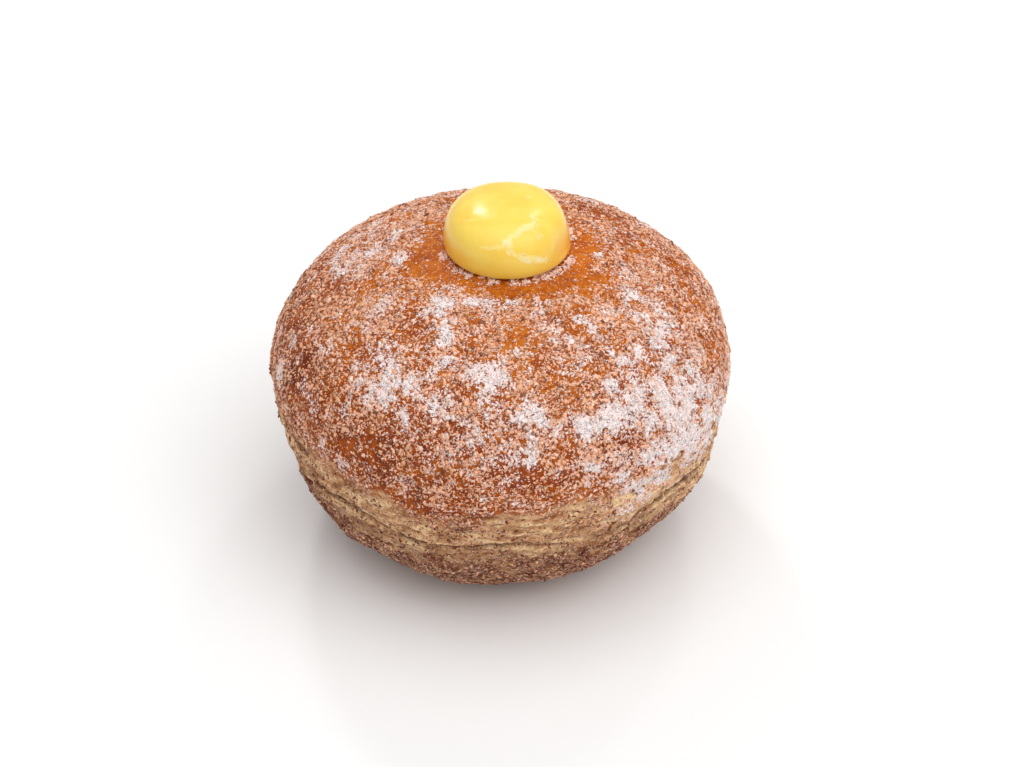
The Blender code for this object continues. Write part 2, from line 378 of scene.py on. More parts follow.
def faced_mesh(name: str, points: Array, numbers: Array, totals: Array) -> bpy.types.Mesh:
    """Return a mesh made from whole arrays.

    Args:
        name: the mesh's name.
        points: the vertices.
        numbers: the vertex numbers of all face corners, face after face.
        totals: the number of corners of each face.

    Returns:
        The new mesh.
    """
    mesh = bpy.data.meshes.new(name)
    mesh.vertices.add(len(points))
    mesh.vertices.foreach_set("co", points.astype(np.float32).ravel())
    mesh.loops.add(len(numbers))
    mesh.loops.foreach_set("vertex_index", numbers.astype(np.int32))
    mesh.polygons.add(len(totals))
    starts = np.concatenate(((0,), np.cumsum(totals)[:-1]))
    mesh.polygons.foreach_set("loop_start", starts.astype(np.int32))
    mesh.update(calc_edges=True)
    return mesh


def store_field(mesh: bpy.types.Mesh, kind: Field, values: Array) -> None:
    """Store one number a vertex in the mesh, under the field's name."""
    layer = mesh.attributes.new(kind.value, "FLOAT", "POINT")
    layer.data.foreach_set("value", values.astype(np.float32).ravel())


def linked(name: str, mesh: bpy.types.Mesh) -> bpy.types.Object:
    """Return a new object of the mesh, linked to the scene at the origin.

    Args:
        name: the object's name.
        mesh: its mesh.

    Returns:
        The new object.
    """
    piece = bpy.data.objects.new(name, mesh)
    bpy.context.scene.collection.objects.link(piece)
    return piece


def dressed(piece: bpy.types.Object, material: bpy.types.Material) -> bpy.types.Object:
    """Return the piece with its material, riding on the root body.

    Args:
        piece: the finished piece.
        material: its material.

    Returns:
        The same piece.
    """
    piece.data.materials.append(material)
    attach(piece, ROOT_BODY)
    LOG.info("%s: %d faces", piece.name, len(piece.data.polygons))
    return piece


def travelled(curve: Array) -> Array:
    """Return the distance travelled along a curve to each of its points."""
    return np.concatenate(((0.0,), np.cumsum(np.linalg.norm(np.diff(curve, axis=0), axis=1))))


def spaced_along(curve: Array, count: int, weight: Array) -> Array:
    """Return points along a fine curve, closer where the weight is greater.

    Args:
        curve: the fine curve's radius, level and any further columns.
        count: number of points wanted.
        weight: closeness of the points at each point of the fine curve.

    Returns:
        The points at equal steps of the weighted travel, with all of the curve's columns.
    """
    steps = np.linalg.norm(np.diff(curve[:, :2], axis=0), axis=1)
    travel = np.concatenate(((0.0,), np.cumsum(steps * (weight[1:] + weight[:-1]) / 2.0)))
    wanted = np.linspace(0.0, travel[-1], count)
    return np.column_stack([np.interp(wanted, travel, column) for column in curve.T])


def turned(profile: Array, turns: int) -> tuple[Array, ...]:
    """Carry a profile once round the axis.

    Args:
        profile: rows of radius, level and any further columns.
        turns: number of places round the axis.

    Returns:
        The azimuth and each of the profile's columns, as arrays of rings by turns.
    """
    azimuth = np.arange(turns) * 360.0 / turns - 180.0
    columns = [np.repeat(column[:, None], turns, axis=1) for column in profile.T]
    return np.repeat(azimuth[None], len(profile), axis=0), *columns


@dataclass(frozen=True)
class DoughForm:
    """The dough's form, as the CAD solid has it: a turned profile made uneven by a rule."""

    body_radius: float = 45.0 * MM
    widest_level: float = 36.0 * MM
    crown_rise: float = 27.0 * MM
    crown_power: float = 2.05
    belly_depth: float = 42.0 * MM
    belly_power: float = 2.2
    base_blend: float = 3.0 * MM

    dimple_depth: float = 1.2 * MM
    dimple_radius: float = 18.0 * MM
    hole_radius: float = 6.3 * MM
    hole_floor: float = 31.0 * MM
    hole_floor_round: float = 3.0 * MM
    rim_round: float = 1.0 * MM
    round_points: int = 6
    hole_lean: float = 1.4 * MM
    lean_radii: tuple[float, float] = (15.0 * MM, 40.0 * MM)
    lean_levels: tuple[float, float] = (12.0 * MM, 28.0 * MM)

    waist_level: float = 23.4 * MM
    waist_spread: float = 3.6 * MM
    waist_depth: float = 0.6 * MM
    crease_spread: float = 0.7 * MM
    crease_depth: float = 0.75 * MM
    crease_change: float = 0.2
    crease_change_turns: int = 3
    crease_change_phase: float = 0.4
    crease_break_azimuth: float = -72.0
    crease_break_width: float = 9.0
    crease_break_share: float = 0.8
    second_crease_drop: float = 2.6 * MM
    second_crease_depth: float = 0.5 * MM
    second_crease_azimuth: float = -52.0
    second_crease_width: float = 18.0
    slow_wander: float = 0.4 * MM
    slow_wander_turns: int = 2
    slow_wander_phase: float = 0.6
    quick_wander: float = 1.3 * MM
    quick_wander_turns: int = 8
    quick_wander_crest: float = -42.0
    wander_side_share: float = 0.6
    wander_front_share: float = 0.4
    wander_reach: float = 8.0 * MM

    wave_seed: int = 7
    wave_count: int = 9
    fewest_wave_turns: int = 2
    wave_height: float = 0.22 * MM
    wave_lifts: tuple[float, float] = (60.0, 190.0)
    calm_radii: tuple[float, float] = (13.0 * MM, 21.0 * MM)
    base_levels: tuple[float, float] = (0.4 * MM, 6.0 * MM)

    # Each row is azimuth, level, width, spread and rise, with lengths in mm.
    swells: tuple[Swell, ...] = swells_from(
        (-19, 16, 16, 9, 0.8), (-46, 9, 14, 8, -0.65), (-100, 6, 18, 7, 0.55), (226, 9, 12, 8, 0.3),
        (219, 11, 7, 5, 0.6), (180, 34, 14, 10, 0.5), (158, 44, 14, 8, -0.25), (19, 44, 14, 8, 0.35),
        (200, 54, 18, 5, -0.35), (-62, 52, 20, 6, 0.35), (95, 20, 28, 9, 0.6),
    )

    turns: int = 480
    rings: int = 176
    fine_points: int = 1200
    foot_points: int = 100
    waist_closeness: float = 0.9
    waist_closeness_reach: float = 9.0 * MM

    def crown_level(self, radius: Array | float) -> Array:
        """Return the plain crown's height: a superellipse less a raised cosine's dimple.

        Args:
            radius: distance of each place from the axis.

        Returns:
            The level at each place.
        """
        flat = np.clip(1.0 - (radius / self.body_radius) ** self.crown_power, 0.0, 1.0)
        dome = self.widest_level + self.crown_rise * flat ** (1.0 / self.crown_power)
        inside = np.clip(radius / self.dimple_radius, 0.0, 1.0)
        return dome - self.dimple_depth * 0.5 * (1.0 + np.cos(math.pi * inside))

    def outer_curve(self) -> Array:
        """Return the fine outer profile from the hole's rim to the middle of the flat base.

        The crown and the belly are quarter superellipses that meet at the widest level, and
        the belly ends on a smooth floor at the table.

        Returns:
            Columns of radius, level and reach.
        """
        turn = np.linspace(0.0, math.pi / 2, self.fine_points)
        radius = self.body_radius * np.sin(turn) ** (2.0 / self.crown_power)
        radius = radius[radius > self.hole_radius + self.rim_round]
        crown = np.column_stack((radius, self.crown_level(radius)))
        radius = self.body_radius * np.cos(turn[1:]) ** (2.0 / self.belly_power)
        level = self.widest_level - self.belly_depth * np.sin(turn[1:]) ** (2.0 / self.belly_power)
        level = smooth_floor(level, self.base_blend)
        belly = np.column_stack((radius, level))[level > 0.0]
        foot = np.linspace(belly[-1, 0], 0.0, self.foot_points)[1:]
        curve = np.vstack((crown, belly, np.column_stack((foot, np.zeros_like(foot)))))
        return np.column_stack((curve, curve[0, 0] + travelled(curve)))

    def rim_centre(self) -> tuple[float, float]:
        """Return the radius and level of the centre of the rim's rounding."""
        radius = self.hole_radius + self.rim_round
        return radius, float(self.crown_level(radius)) - self.rim_round

    def floor_centre(self) -> tuple[float, float]:
        """Return the radius and level of the centre of the rounding at the well's floor."""
        return self.hole_radius - self.hole_floor_round, self.hole_floor + self.hole_floor_round

    def profile(self) -> Array:
        """Return the whole profile: the well's floor and wall, the rim and the outside.

        Returns:
            Rows of radius, level and reach, which is zero in the well and on the rim.
        """
        floor = arc(self.floor_centre(), self.hole_floor_round, -90.0, 0.0, self.round_points)
        rim = arc(self.rim_centre(), self.rim_round, 180.0, 90.0, self.round_points)
        well = np.vstack(((0.0, self.hole_floor), floor, rim))
        well = np.column_stack((well, np.zeros(len(well))))
        outside = self.outer_curve()
        near = bell(outside[:, 1] - self.waist_level, self.waist_closeness_reach)
        near = near * (outside[:, 0] > self.body_radius / 2)
        outside = spaced_along(outside, self.rings, 1.0 + self.waist_closeness * near)
        return np.vstack((well, outside))

    def waist_wander(self, azimuth: Array) -> Array:
        """Return how far the waist climbs: a slow cosine and a quick one, greatest in front.

        Args:
            azimuth: azimuth of each place.

        Returns:
            The climb at each azimuth.
        """
        turn = np.radians(azimuth)
        slow = self.slow_wander * np.cos(self.slow_wander_turns * turn + self.slow_wander_phase)
        crest = math.radians(self.quick_wander_crest)
        quick = self.quick_wander * np.cos(self.quick_wander_turns * (turn - crest))
        return slow + quick * (self.wander_side_share - self.wander_front_share * np.sin(turn))

    def creases(self, azimuth: Array, level: Array) -> Array:
        """Return the depth of the sharp crease and of the short second one below it.

        Args:
            azimuth: azimuth of each place.
            level: level of each place.

        Returns:
            The depth: bells in level, changed along the azimuth.
        """
        turn = np.radians(azimuth)
        change = self.crease_change * np.cos(self.crease_change_turns * turn + self.crease_change_phase)
        gone = bell(turn_between(azimuth, self.crease_break_azimuth), self.crease_break_width)
        kept = (1.0 + change) * (1.0 - self.crease_break_share * gone)
        sharp = self.crease_depth * kept * bell(level - self.waist_level, self.crease_spread)
        below = level - self.waist_level + self.second_crease_drop
        short = bell(turn_between(azimuth, self.second_crease_azimuth), self.second_crease_width)
        return sharp + self.second_crease_depth * short * bell(below, self.crease_spread)

    def waves(self, azimuth: Array, level: Array) -> Array:
        """Return low waves: cosines of whole turns round the body, crossed by cosines in height.

        Args:
            azimuth: azimuth of each place.
            level: level of each place.

        Returns:
            The height of the waves at each place.
        """
        draw = np.random.default_rng(self.wave_seed)
        total = np.zeros(np.broadcast(azimuth, level).shape)
        for wave in range(self.wave_count):
            turns = self.fewest_wave_turns + wave
            lift = draw.uniform(*self.wave_lifts)
            phase = draw.uniform(0.0, 2.0 * math.pi, 2)
            size = self.wave_height / math.sqrt(turns)
            around = np.cos(turns * np.radians(azimuth) + phase[0])
            total += size * around * np.cos(lift * level + phase[1])
        return total

    def freedom(self, radius: Array, level: Array) -> Array:
        """Return 1 where the surface may be uneven, and 0 round the hole and on the base."""
        return smooth_step(radius, *self.calm_radii) * smooth_step(level, *self.base_levels)

    def placed(self, azimuth: Array, radius: Array, level: Array, extra: Array) -> Array:
        """Return the points of the uneven surface.

        Each plain point moves along the plain form's outward slope by the swells and waves
        less the waist, and by the extra relief. The rings near the waist rise and fall with
        it, and the crown's middle leans to the side with its hole.

        Args:
            azimuth: azimuth of each plain point.
            radius: radius of each plain point.
            level: level of each plain point.
            extra: further relief at each point, outwards.

        Returns:
            The points' x, y and z along the last axis.
        """
        above = level - self.widest_level
        half_height = np.where(above > 0.0, self.crown_rise, self.belly_depth)
        slope_out = radius / self.body_radius**2
        slope_up = above / half_height**2
        length = np.maximum(np.hypot(slope_out, slope_up), 1.0 / self.body_radius)

        rise = sum(swell.at(azimuth, level) for swell in self.swells) + self.waves(azimuth, level)
        rise = rise - self.waist_depth * bell(level - self.waist_level, self.waist_spread)
        rise = rise - self.creases(azimuth, level)
        free = self.freedom(radius, level)
        near_waist = bell(level - self.waist_level, self.wander_reach)
        out = radius + (free * rise + extra) * slope_out / length
        up = level + (free * rise + extra) * slope_up / length
        up = up + free * near_waist * self.waist_wander(azimuth)
        inner = 1.0 - smooth_step(radius, *self.lean_radii)
        lean = self.hole_lean * inner * smooth_step(level, *self.lean_levels)
        turn = np.radians(azimuth)
        return np.stack((out * np.cos(turn) + lean, out * np.sin(turn), up), axis=-1)


@dataclass(frozen=True)
class CustardForm:
    """The custard's form, as the CAD solid has it: a dollop with a neck that fills the hole."""

    radius: float = 12.4 * MM
    level: float = 64.4 * MM
    rise: float = 8.0 * MM
    power: float = 2.8
    tuck: float = 1.5 * MM
    free_rise: float = 2.0 * MM
    wave: float = 0.15 * MM
    wave_turns: int = 3
    wave_twist: float = 450.0
    squareness: float = 0.11 * MM
    square_phase: float = 3.0
    gap: float = 0.3 * MM
    turns: int = 240
    rings: int = 110
    fine_points: int = 600

    # Each row is azimuth, level, width, spread and rise, with lengths in mm.
    swells: tuple[Swell, ...] = swells_from(
        (-32, 67, 17, 6, -0.95), (14, 69, 34, 5, -1.4), (90, 69, 30, 8, -0.8), (150, 68, 40, 8, -0.3),
    )

    def profile(self, dough: DoughForm) -> Array:
        """Return the profile: the dome, its tucked edge, the underside, the throat and the plug.

        The dome is a quarter superellipse and the tuck a quarter ellipse. The underside keeps
        the gap to the crown, and the throat and the plug keep it to the rim and the well.

        Args:
            dough: the form that the custard lies on.

        Returns:
            Radius and level pairs from the top of the dome to the bottom of the plug.
        """
        turn = np.linspace(0.0, math.pi / 2, self.fine_points)
        radius = self.radius * np.sin(turn) ** (2.0 / self.power)
        dome = np.column_stack((radius, self.level + self.rise * np.cos(turn) ** (2.0 / self.power)))
        seat_radius = self.radius - self.tuck
        drop = self.level - float(dough.crown_level(seat_radius)) - self.gap
        edge_radius, edge_level = self.tuck * np.cos(turn), drop * np.sin(turn)
        tuck = np.column_stack((seat_radius + edge_radius, self.level - edge_level))
        outside = np.vstack((dome, tuck[1:]))
        outside = spaced_along(outside, self.rings, np.ones(len(outside)))

        rim, well, points = dough.rim_centre(), dough.floor_centre(), dough.round_points
        seat = np.linspace(seat_radius, rim[0], points + 2)[1:-1]
        underside = np.column_stack((seat, dough.crown_level(seat) + self.gap))
        throat = arc(rim, dough.rim_round + self.gap, 90.0, 180.0, points)
        plug = arc(well, dough.hole_floor_round - self.gap, 0.0, -90.0, points)
        return np.vstack((outside, underside, throat, plug, (0.0, dough.hole_floor + self.gap)))

    def placed(self, azimuth: Array, radius: Array, level: Array, dough: DoughForm) -> Array:
        """Return the points of the uneven custard, swollen above its seat, over the hole.

        Args:
            azimuth: azimuth of each plain point.
            radius: radius of each plain point.
            level: level of each plain point.
            dough: the form that the custard lies on.

        Returns:
            The points' x, y and z along the last axis.
        """
        seat = float(dough.crown_level(self.radius - self.tuck)) + self.gap
        free = smooth_step(level, seat, seat + self.free_rise)
        edge = np.clip(radius / self.radius, 0.0, 1.0) ** 2
        turn = np.radians(azimuth)
        rise = sum(swell.at(azimuth, level) for swell in self.swells)
        rise = rise + self.squareness * np.cos(4.0 * turn + self.square_phase)
        rise = rise + self.wave * np.cos(self.wave_turns * turn + self.wave_twist * level)
        out = radius + free * edge * rise
        return np.stack((out * np.cos(turn) + dough.hole_lean, out * np.sin(turn), level), axis=-1)


class Graph:
    """A material's node tree with its Principled shader, built one named step at a time."""

    def __init__(self, name: str) -> None:
        """Make the material and keep its tree and its shader.

        Args:
            name: the material's name.
        """
        self.material = bpy.data.materials.new(name)
        self.material.use_nodes = True
        self.tree = self.material.node_tree
        self.shader = self.tree.nodes["Principled BSDF"]

    def feed(self, target: Socket, source: object) -> None:
        """Wire a socket to the target, or set the target to a number or a colour.

        Args:
            target: the input socket.
            source: a socket, a number, a colour or a vector.
        """
        if isinstance(source, Socket):
            self.tree.links.new(source, target)
        elif isinstance(source, tuple) and len(target.default_value) == 4:
            target.default_value = (*source, 1.0)
        else:
            target.default_value = source

    def add(self, kind: str, inputs: dict[str | int, object], **settings: object) -> bpy.types.Node:
        """Return a new node with its inputs fed and its settings made.

        Args:
            kind: the node's type.
            inputs: a source for each input, by name or by number.
            settings: values of the node's own properties.

        Returns:
            The node.
        """
        node = self.tree.nodes.new(kind)
        for name, value in settings.items():
            setattr(node, name, value)
        for name, source in inputs.items():
            self.feed(node.inputs[name], source)
        return node

    def set(self, **inputs: object) -> None:
        """Feed the shader's inputs, named in small letters with underscores for spaces.

        Args:
            inputs: a source for each named input.
        """
        names = {socket.name.lower().replace(" ", "_"): socket for socket in self.shader.inputs}
        for name, source in inputs.items():
            self.feed(names[name], source)

    def place(self, stretch: tuple[float, float, float] = (1.0, 1.0, 1.0)) -> Socket:
        """Return the object coordinates, each multiplied by its stretch."""
        place = self.add("ShaderNodeTexCoord", {}).outputs["Object"]
        return self.add("ShaderNodeMapping", {"Vector": place, "Scale": stretch}).outputs["Vector"]

    def field(self, kind: Field) -> Socket:
        """Return a stored field."""
        return self.add("ShaderNodeAttribute", {}, attribute_name=kind.value).outputs["Fac"]

    def noise(
        self, size: float, place: Socket, detail: float = 2.0, roughness: float = 0.5
    ) -> Socket:
        """Return noise whose blobs have a size in metres."""
        inputs = {"Vector": place, "Scale": 1.0 / size, "Detail": detail, "Roughness": roughness}
        return self.add("ShaderNodeTexNoise", inputs).outputs["Fac"]

    def math(self, operation: str, first: object, second: object = 0.0) -> Socket:
        """Return the result of one arithmetic operation."""
        return self.add("ShaderNodeMath", {0: first, 1: second}, operation=operation).outputs[0]

    def total(self, *parts: tuple[Socket, float], offset: float = 0.0, clamp: bool = False) -> Socket:
        """Return an offset plus each source times its factor.

        Args:
            parts: pairs of source and factor.
            offset: the number added.
            clamp: whether the sum is kept from 0 to 1.

        Returns:
            The sum.
        """
        result = offset
        for source, factor in parts:
            inputs = {0: source, 1: factor, 2: result}
            node = self.add("ShaderNodeMath", inputs, operation="MULTIPLY_ADD")
            result = node.outputs[0]
        node.use_clamp = clamp
        return result

    def ramp(self, source: object, stops: tuple[tuple[float, Colour], ...]) -> Socket:
        """Return the colour that a ramp gives for a number.

        Args:
            source: the number looked up.
            stops: the ramp's positions and colours.

        Returns:
            The colour.
        """
        node = self.add("ShaderNodeValToRGB", {"Fac": source})
        elements = node.color_ramp.elements
        while len(elements) < len(stops):
            elements.new(0.5)
        for element, (position, colour) in zip(elements, stops):
            element.position = position
            element.color = (*colour, 1.0)
        return node.outputs["Color"]

    def mix(self, share: object, first: object, second: object) -> Socket:
        """Return the first colour mixed with a share of the second."""
        inputs = {"Factor": share, 6: first, 7: second}
        return self.add("ShaderNodeMix", inputs, data_type="RGBA").outputs[2]

    def blend(self, share: object, first: object, second: object) -> Socket:
        """Return the first number mixed with a share of the second."""
        inputs = {"Factor": share, 2: first, 3: second}
        return self.add("ShaderNodeMix", inputs, data_type="FLOAT").outputs[0]

    def bump(self, height: Socket, depth: float, strength: float) -> Socket:
        """Return a bumped normal for a height that runs over the depth in metres."""
        inputs = {"Strength": strength, "Distance": depth, "Height": height}
        return self.add("ShaderNodeBump", inputs).outputs["Normal"]


# Sugar tints from dusky at zero to white at one. The lower tints, given to the grains and specks on the
# sole and the left, stand for painted shade there.
SUGAR_TINTS = (
    (0.0, srgb(128, 62, 36)),
    (0.14, srgb(198, 152, 130)),
    (0.31, srgb(238, 190, 151)),
    (0.45, srgb(255, 186, 144)),
    (0.70, srgb(255, 213, 193)),
    (1.0, srgb(255, 243, 241)),
)


@dataclass(frozen=True)
class CrustFinish:
    """Fried crust: golden to dark brown, a pale band round the waist, and dusted sugar."""

    golden: Colour = srgb(202, 112, 28)
    amber: Colour = srgb(176, 87, 20)
    brown: Colour = srgb(148, 66, 26)
    dark: Colour = srgb(110, 46, 22)
    # Dark dots between the grains: painted shade, partly the dark crust showing through.
    gap_shade: Colour = srgb(100, 52, 36)
    band_light: Colour = srgb(247, 209, 160)
    band_tan: Colour = srgb(202, 148, 104)
    band_dark: Colour = srgb(138, 92, 56)
    band_line: Colour = srgb(98, 58, 32)
    # Painted shade in the creases.
    crease: Colour = srgb(92, 56, 30)
    # Below the band: the crust's own darker fried brown, darkened further as painted shade.
    sole_light: Colour = srgb(180, 136, 92)
    sole: Colour = srgb(130, 78, 54)
    sole_dark: Colour = srgb(74, 34, 28)
    powder: Colour = srgb(252, 230, 226)

    # The sizes of the noises, and the shares and finishes of what they draw.
    mottle_size: float = 5.0 * MM
    freckle_size: float = 1.1 * MM
    streak_size: float = 1.5 * MM
    line_size: float = 2.4 * MM
    worn_size: float = 3.2 * MM
    grain_size: float = 0.5 * MM
    tint_size: float = 0.8 * MM
    dot_size: float = 0.4 * MM
    flat_stretch: tuple[float, float, float] = (0.2, 0.2, 1.0)
    line_share: float = 0.65
    speck_share: float = 0.72
    bump_depth: float = 0.25 * MM
    bump_strength: float = 0.6
    dull: float = 0.6
    glossy: float = 0.4
    sugary: float = 0.85
    specular: float = 0.04

    def material(self) -> bpy.types.Material:
        """Return the crust's material, which reads the stored fields and object coordinates.

        Returns:
            The material.
        """
        graph = Graph("fried_crust")
        place = graph.place()
        flat = graph.place(self.flat_stretch)
        band, browning = graph.field(Field.BAND), graph.field(Field.BROWNING)
        freckle = graph.noise(self.freckle_size, place, detail=3.0)

        # The fried colour follows the browning, with mottles and freckles about it.
        mottle = graph.noise(self.mottle_size, place, detail=4.0)
        fried = graph.total((browning, 1.0), (mottle, 1.1), (freckle, 1.4), offset=-1.25)
        browns = ((0.0, self.golden), (0.35, self.amber), (0.7, self.brown), (1.0, self.dark))
        colour = graph.ramp(fried, browns)

        # The pale band has level streaks, and dark lines where a level noise is near its mean.
        streak = graph.noise(self.streak_size, flat, detail=4.0, roughness=0.65)
        streak = graph.total((streak, 0.6), (freckle, 0.4), (browning, -0.3), offset=0.2)
        pale = ((0.36, self.band_dark), (0.46, self.band_tan), (0.58, self.band_light))
        level_line = graph.total((graph.noise(self.line_size, flat, detail=3.0), 1.0), offset=-0.5)
        level_line = graph.math("ABSOLUTE", level_line)
        level_line = graph.total((level_line, -26.0), offset=1.0, clamp=True)
        broken = graph.total((freckle, 5.0), offset=-1.9, clamp=True)
        lines = graph.math("MULTIPLY", graph.math("MULTIPLY", level_line, broken), self.line_share)
        wrinkled = graph.mix(lines, graph.ramp(streak, pale), self.band_line)
        colour = graph.mix(band, colour, wrinkled)

        # Below the band the crust is darker in blotches: its own fried brown, darkened further toward
        # the bottom as painted shade. The creases are darkened as painted shade.
        wear_and_shade = graph.total((graph.noise(self.worn_size, place), 0.55), (freckle, 0.45))
        below = graph.ramp(wear_and_shade, ((0.38, self.sole_dark), (0.5, self.sole), (0.62, self.sole_light)))
        colour = graph.mix(graph.field(Field.SOLE), colour, below)
        colour = graph.mix(graph.field(Field.CREASE), colour, self.crease)

        # Fine sugar between the grains: specks where it is thick, in the grains' own tints, which carry
        # the same painted shade on the sole and the left.
        sugar = graph.field(Field.SUGAR)
        specks = graph.noise(self.grain_size, place, detail=2.0, roughness=0.7)
        specks = graph.total((specks, 12.0), (sugar, 3.6), offset=-8.02, clamp=True)
        specks = graph.math("MULTIPLY", specks, self.speck_share)
        tint = graph.noise(self.tint_size, place, detail=1.0)
        tint = graph.total((graph.field(Field.TINT), 1.0), (tint, 0.9), offset=-0.45)
        colour = graph.mix(specks, colour, graph.ramp(tint, SUGAR_TINTS))

        # The drifts are whiter, with small gaps.
        gaps = graph.noise(self.grain_size, place, detail=2.0, roughness=0.75)
        drift = graph.total((graph.field(Field.POWDER), 3.0), (gaps, 9.6), offset=-5.8, clamp=True)
        colour = graph.mix(drift, colour, self.powder)

        # Dark dots between the grains: painted shade in the gaps, partly the dark crust showing
        # through. Fewer of them in the drifts.
        dots = graph.noise(self.dot_size, place, detail=1.0)
        dots = graph.total((dots, 16.0), offset=-9.5, clamp=True)
        gap_shaded = graph.total((sugar, 1.6), (band, 0.22), clamp=True)
        dots = graph.math("MULTIPLY", dots, gap_shaded)
        dots = graph.math("MULTIPLY", dots, graph.total((drift, -0.5), offset=0.75))
        colour = graph.mix(dots, colour, self.gap_shade)

        sugared = graph.math("MAXIMUM", specks, drift)
        bare = graph.blend(graph.field(Field.GLOSS), self.dull, self.glossy)
        height = graph.total((sugared, 0.7), (freckle, 0.3))
        graph.set(
            base_color=colour,
            roughness=graph.blend(sugared, bare, self.sugary),
            specular_ior_level=self.specular,
            normal=graph.bump(height, self.bump_depth, self.bump_strength),
        )
        return graph.material


@dataclass(frozen=True)
class CustardFinish:
    """Set custard: opaque, smooth and yellow, a little light inside it, with a sugary smear."""

    yellow: Colour = srgb(255, 220, 98)
    deep: Colour = srgb(254, 212, 86)
    # Orange on the low sides: painted shade and painted reflection of the crust.
    low: Colour = srgb(248, 156, 40)
    smear: Colour = srgb(255, 240, 176)

    cloud_size: float = 5.0 * MM
    fleck_size: float = 0.9 * MM
    ripple_size: float = 2.2 * MM
    smear_share: float = 0.8
    bump_depth: float = 0.3 * MM
    bump_strength: float = 0.25
    glossy: float = 0.24
    sugary: float = 0.5
    specular: float = 0.4
    glow: float = 0.3
    glow_depth: float = 2.5 * MM
    glow_colours: tuple[float, float, float] = (1.0, 0.6, 0.15)

    def material(self) -> bpy.types.Material:
        """Return the custard's material.

        Returns:
            The material: clouded yellow, low sides orange as painted shade and painted crust
                reflection, pale smears.
        """
        graph = Graph("set_custard")
        place = graph.place()
        cloud = graph.noise(self.cloud_size, place, detail=2.0)
        colour = graph.ramp(cloud, ((0.35, self.deep), (0.6, self.yellow)))
        # The low sides turn orange: painted shade and painted crust reflection.
        colour = graph.mix(graph.field(Field.DEEP), colour, self.low)
        flecks = graph.noise(self.fleck_size, place, detail=2.0, roughness=0.6)
        smear = graph.total((graph.field(Field.SMEAR), 1.4), (flecks, 2.52), offset=-1.76, clamp=True)
        colour = graph.mix(graph.math("MULTIPLY", smear, self.smear_share), colour, self.smear)
        ripple = graph.noise(self.ripple_size, place, detail=2.0)
        height = graph.total((ripple, 1.0), (smear, 0.3))
        graph.set(
            base_color=colour,
            roughness=graph.blend(smear, self.glossy, self.sugary),
            specular_ior_level=self.specular,
            subsurface_weight=self.glow,
            subsurface_radius=self.glow_colours,
            subsurface_scale=self.glow_depth,
            normal=graph.bump(height, self.bump_depth, self.bump_strength),
        )
        return graph.material


@dataclass(frozen=True)
class SugarFinish:
    """Fine sugar: each grain takes its place between a dusky and a white tint."""

    roughness: float = 0.5
    specular: float = 0.12

    def material(self) -> bpy.types.Material:
        """Return the grains' material, which reads each grain's tint.

        Returns:
            The material.
        """
        graph = Graph("fine_sugar")
        colour = graph.ramp(graph.field(Field.TINT), SUGAR_TINTS)
        graph.set(base_color=colour, roughness=self.roughness, specular_ior_level=self.specular)
        return graph.material


@dataclass(frozen=True)
class FloorFinish:
    """A plain pale studio floor."""

    pale: Colour = (0.97, 0.97, 0.97)
    roughness: float = 0.9
    specular: float = 0.1

    def material(self) -> bpy.types.Material:
        """Return the floor's material.

        Returns:
            The material.
        """
        graph = Graph("pale_floor")
        graph.set(base_color=self.pale, roughness=self.roughness, specular_ior_level=self.specular)
        return graph.material


@dataclass(frozen=True)
class SkinPlaces:
    """The crust's grid as separate arrays of rings by turns."""

    azimuth: Array
    radius: Array
    level: Array
    reach: Array
    outside: Array
    points: Array


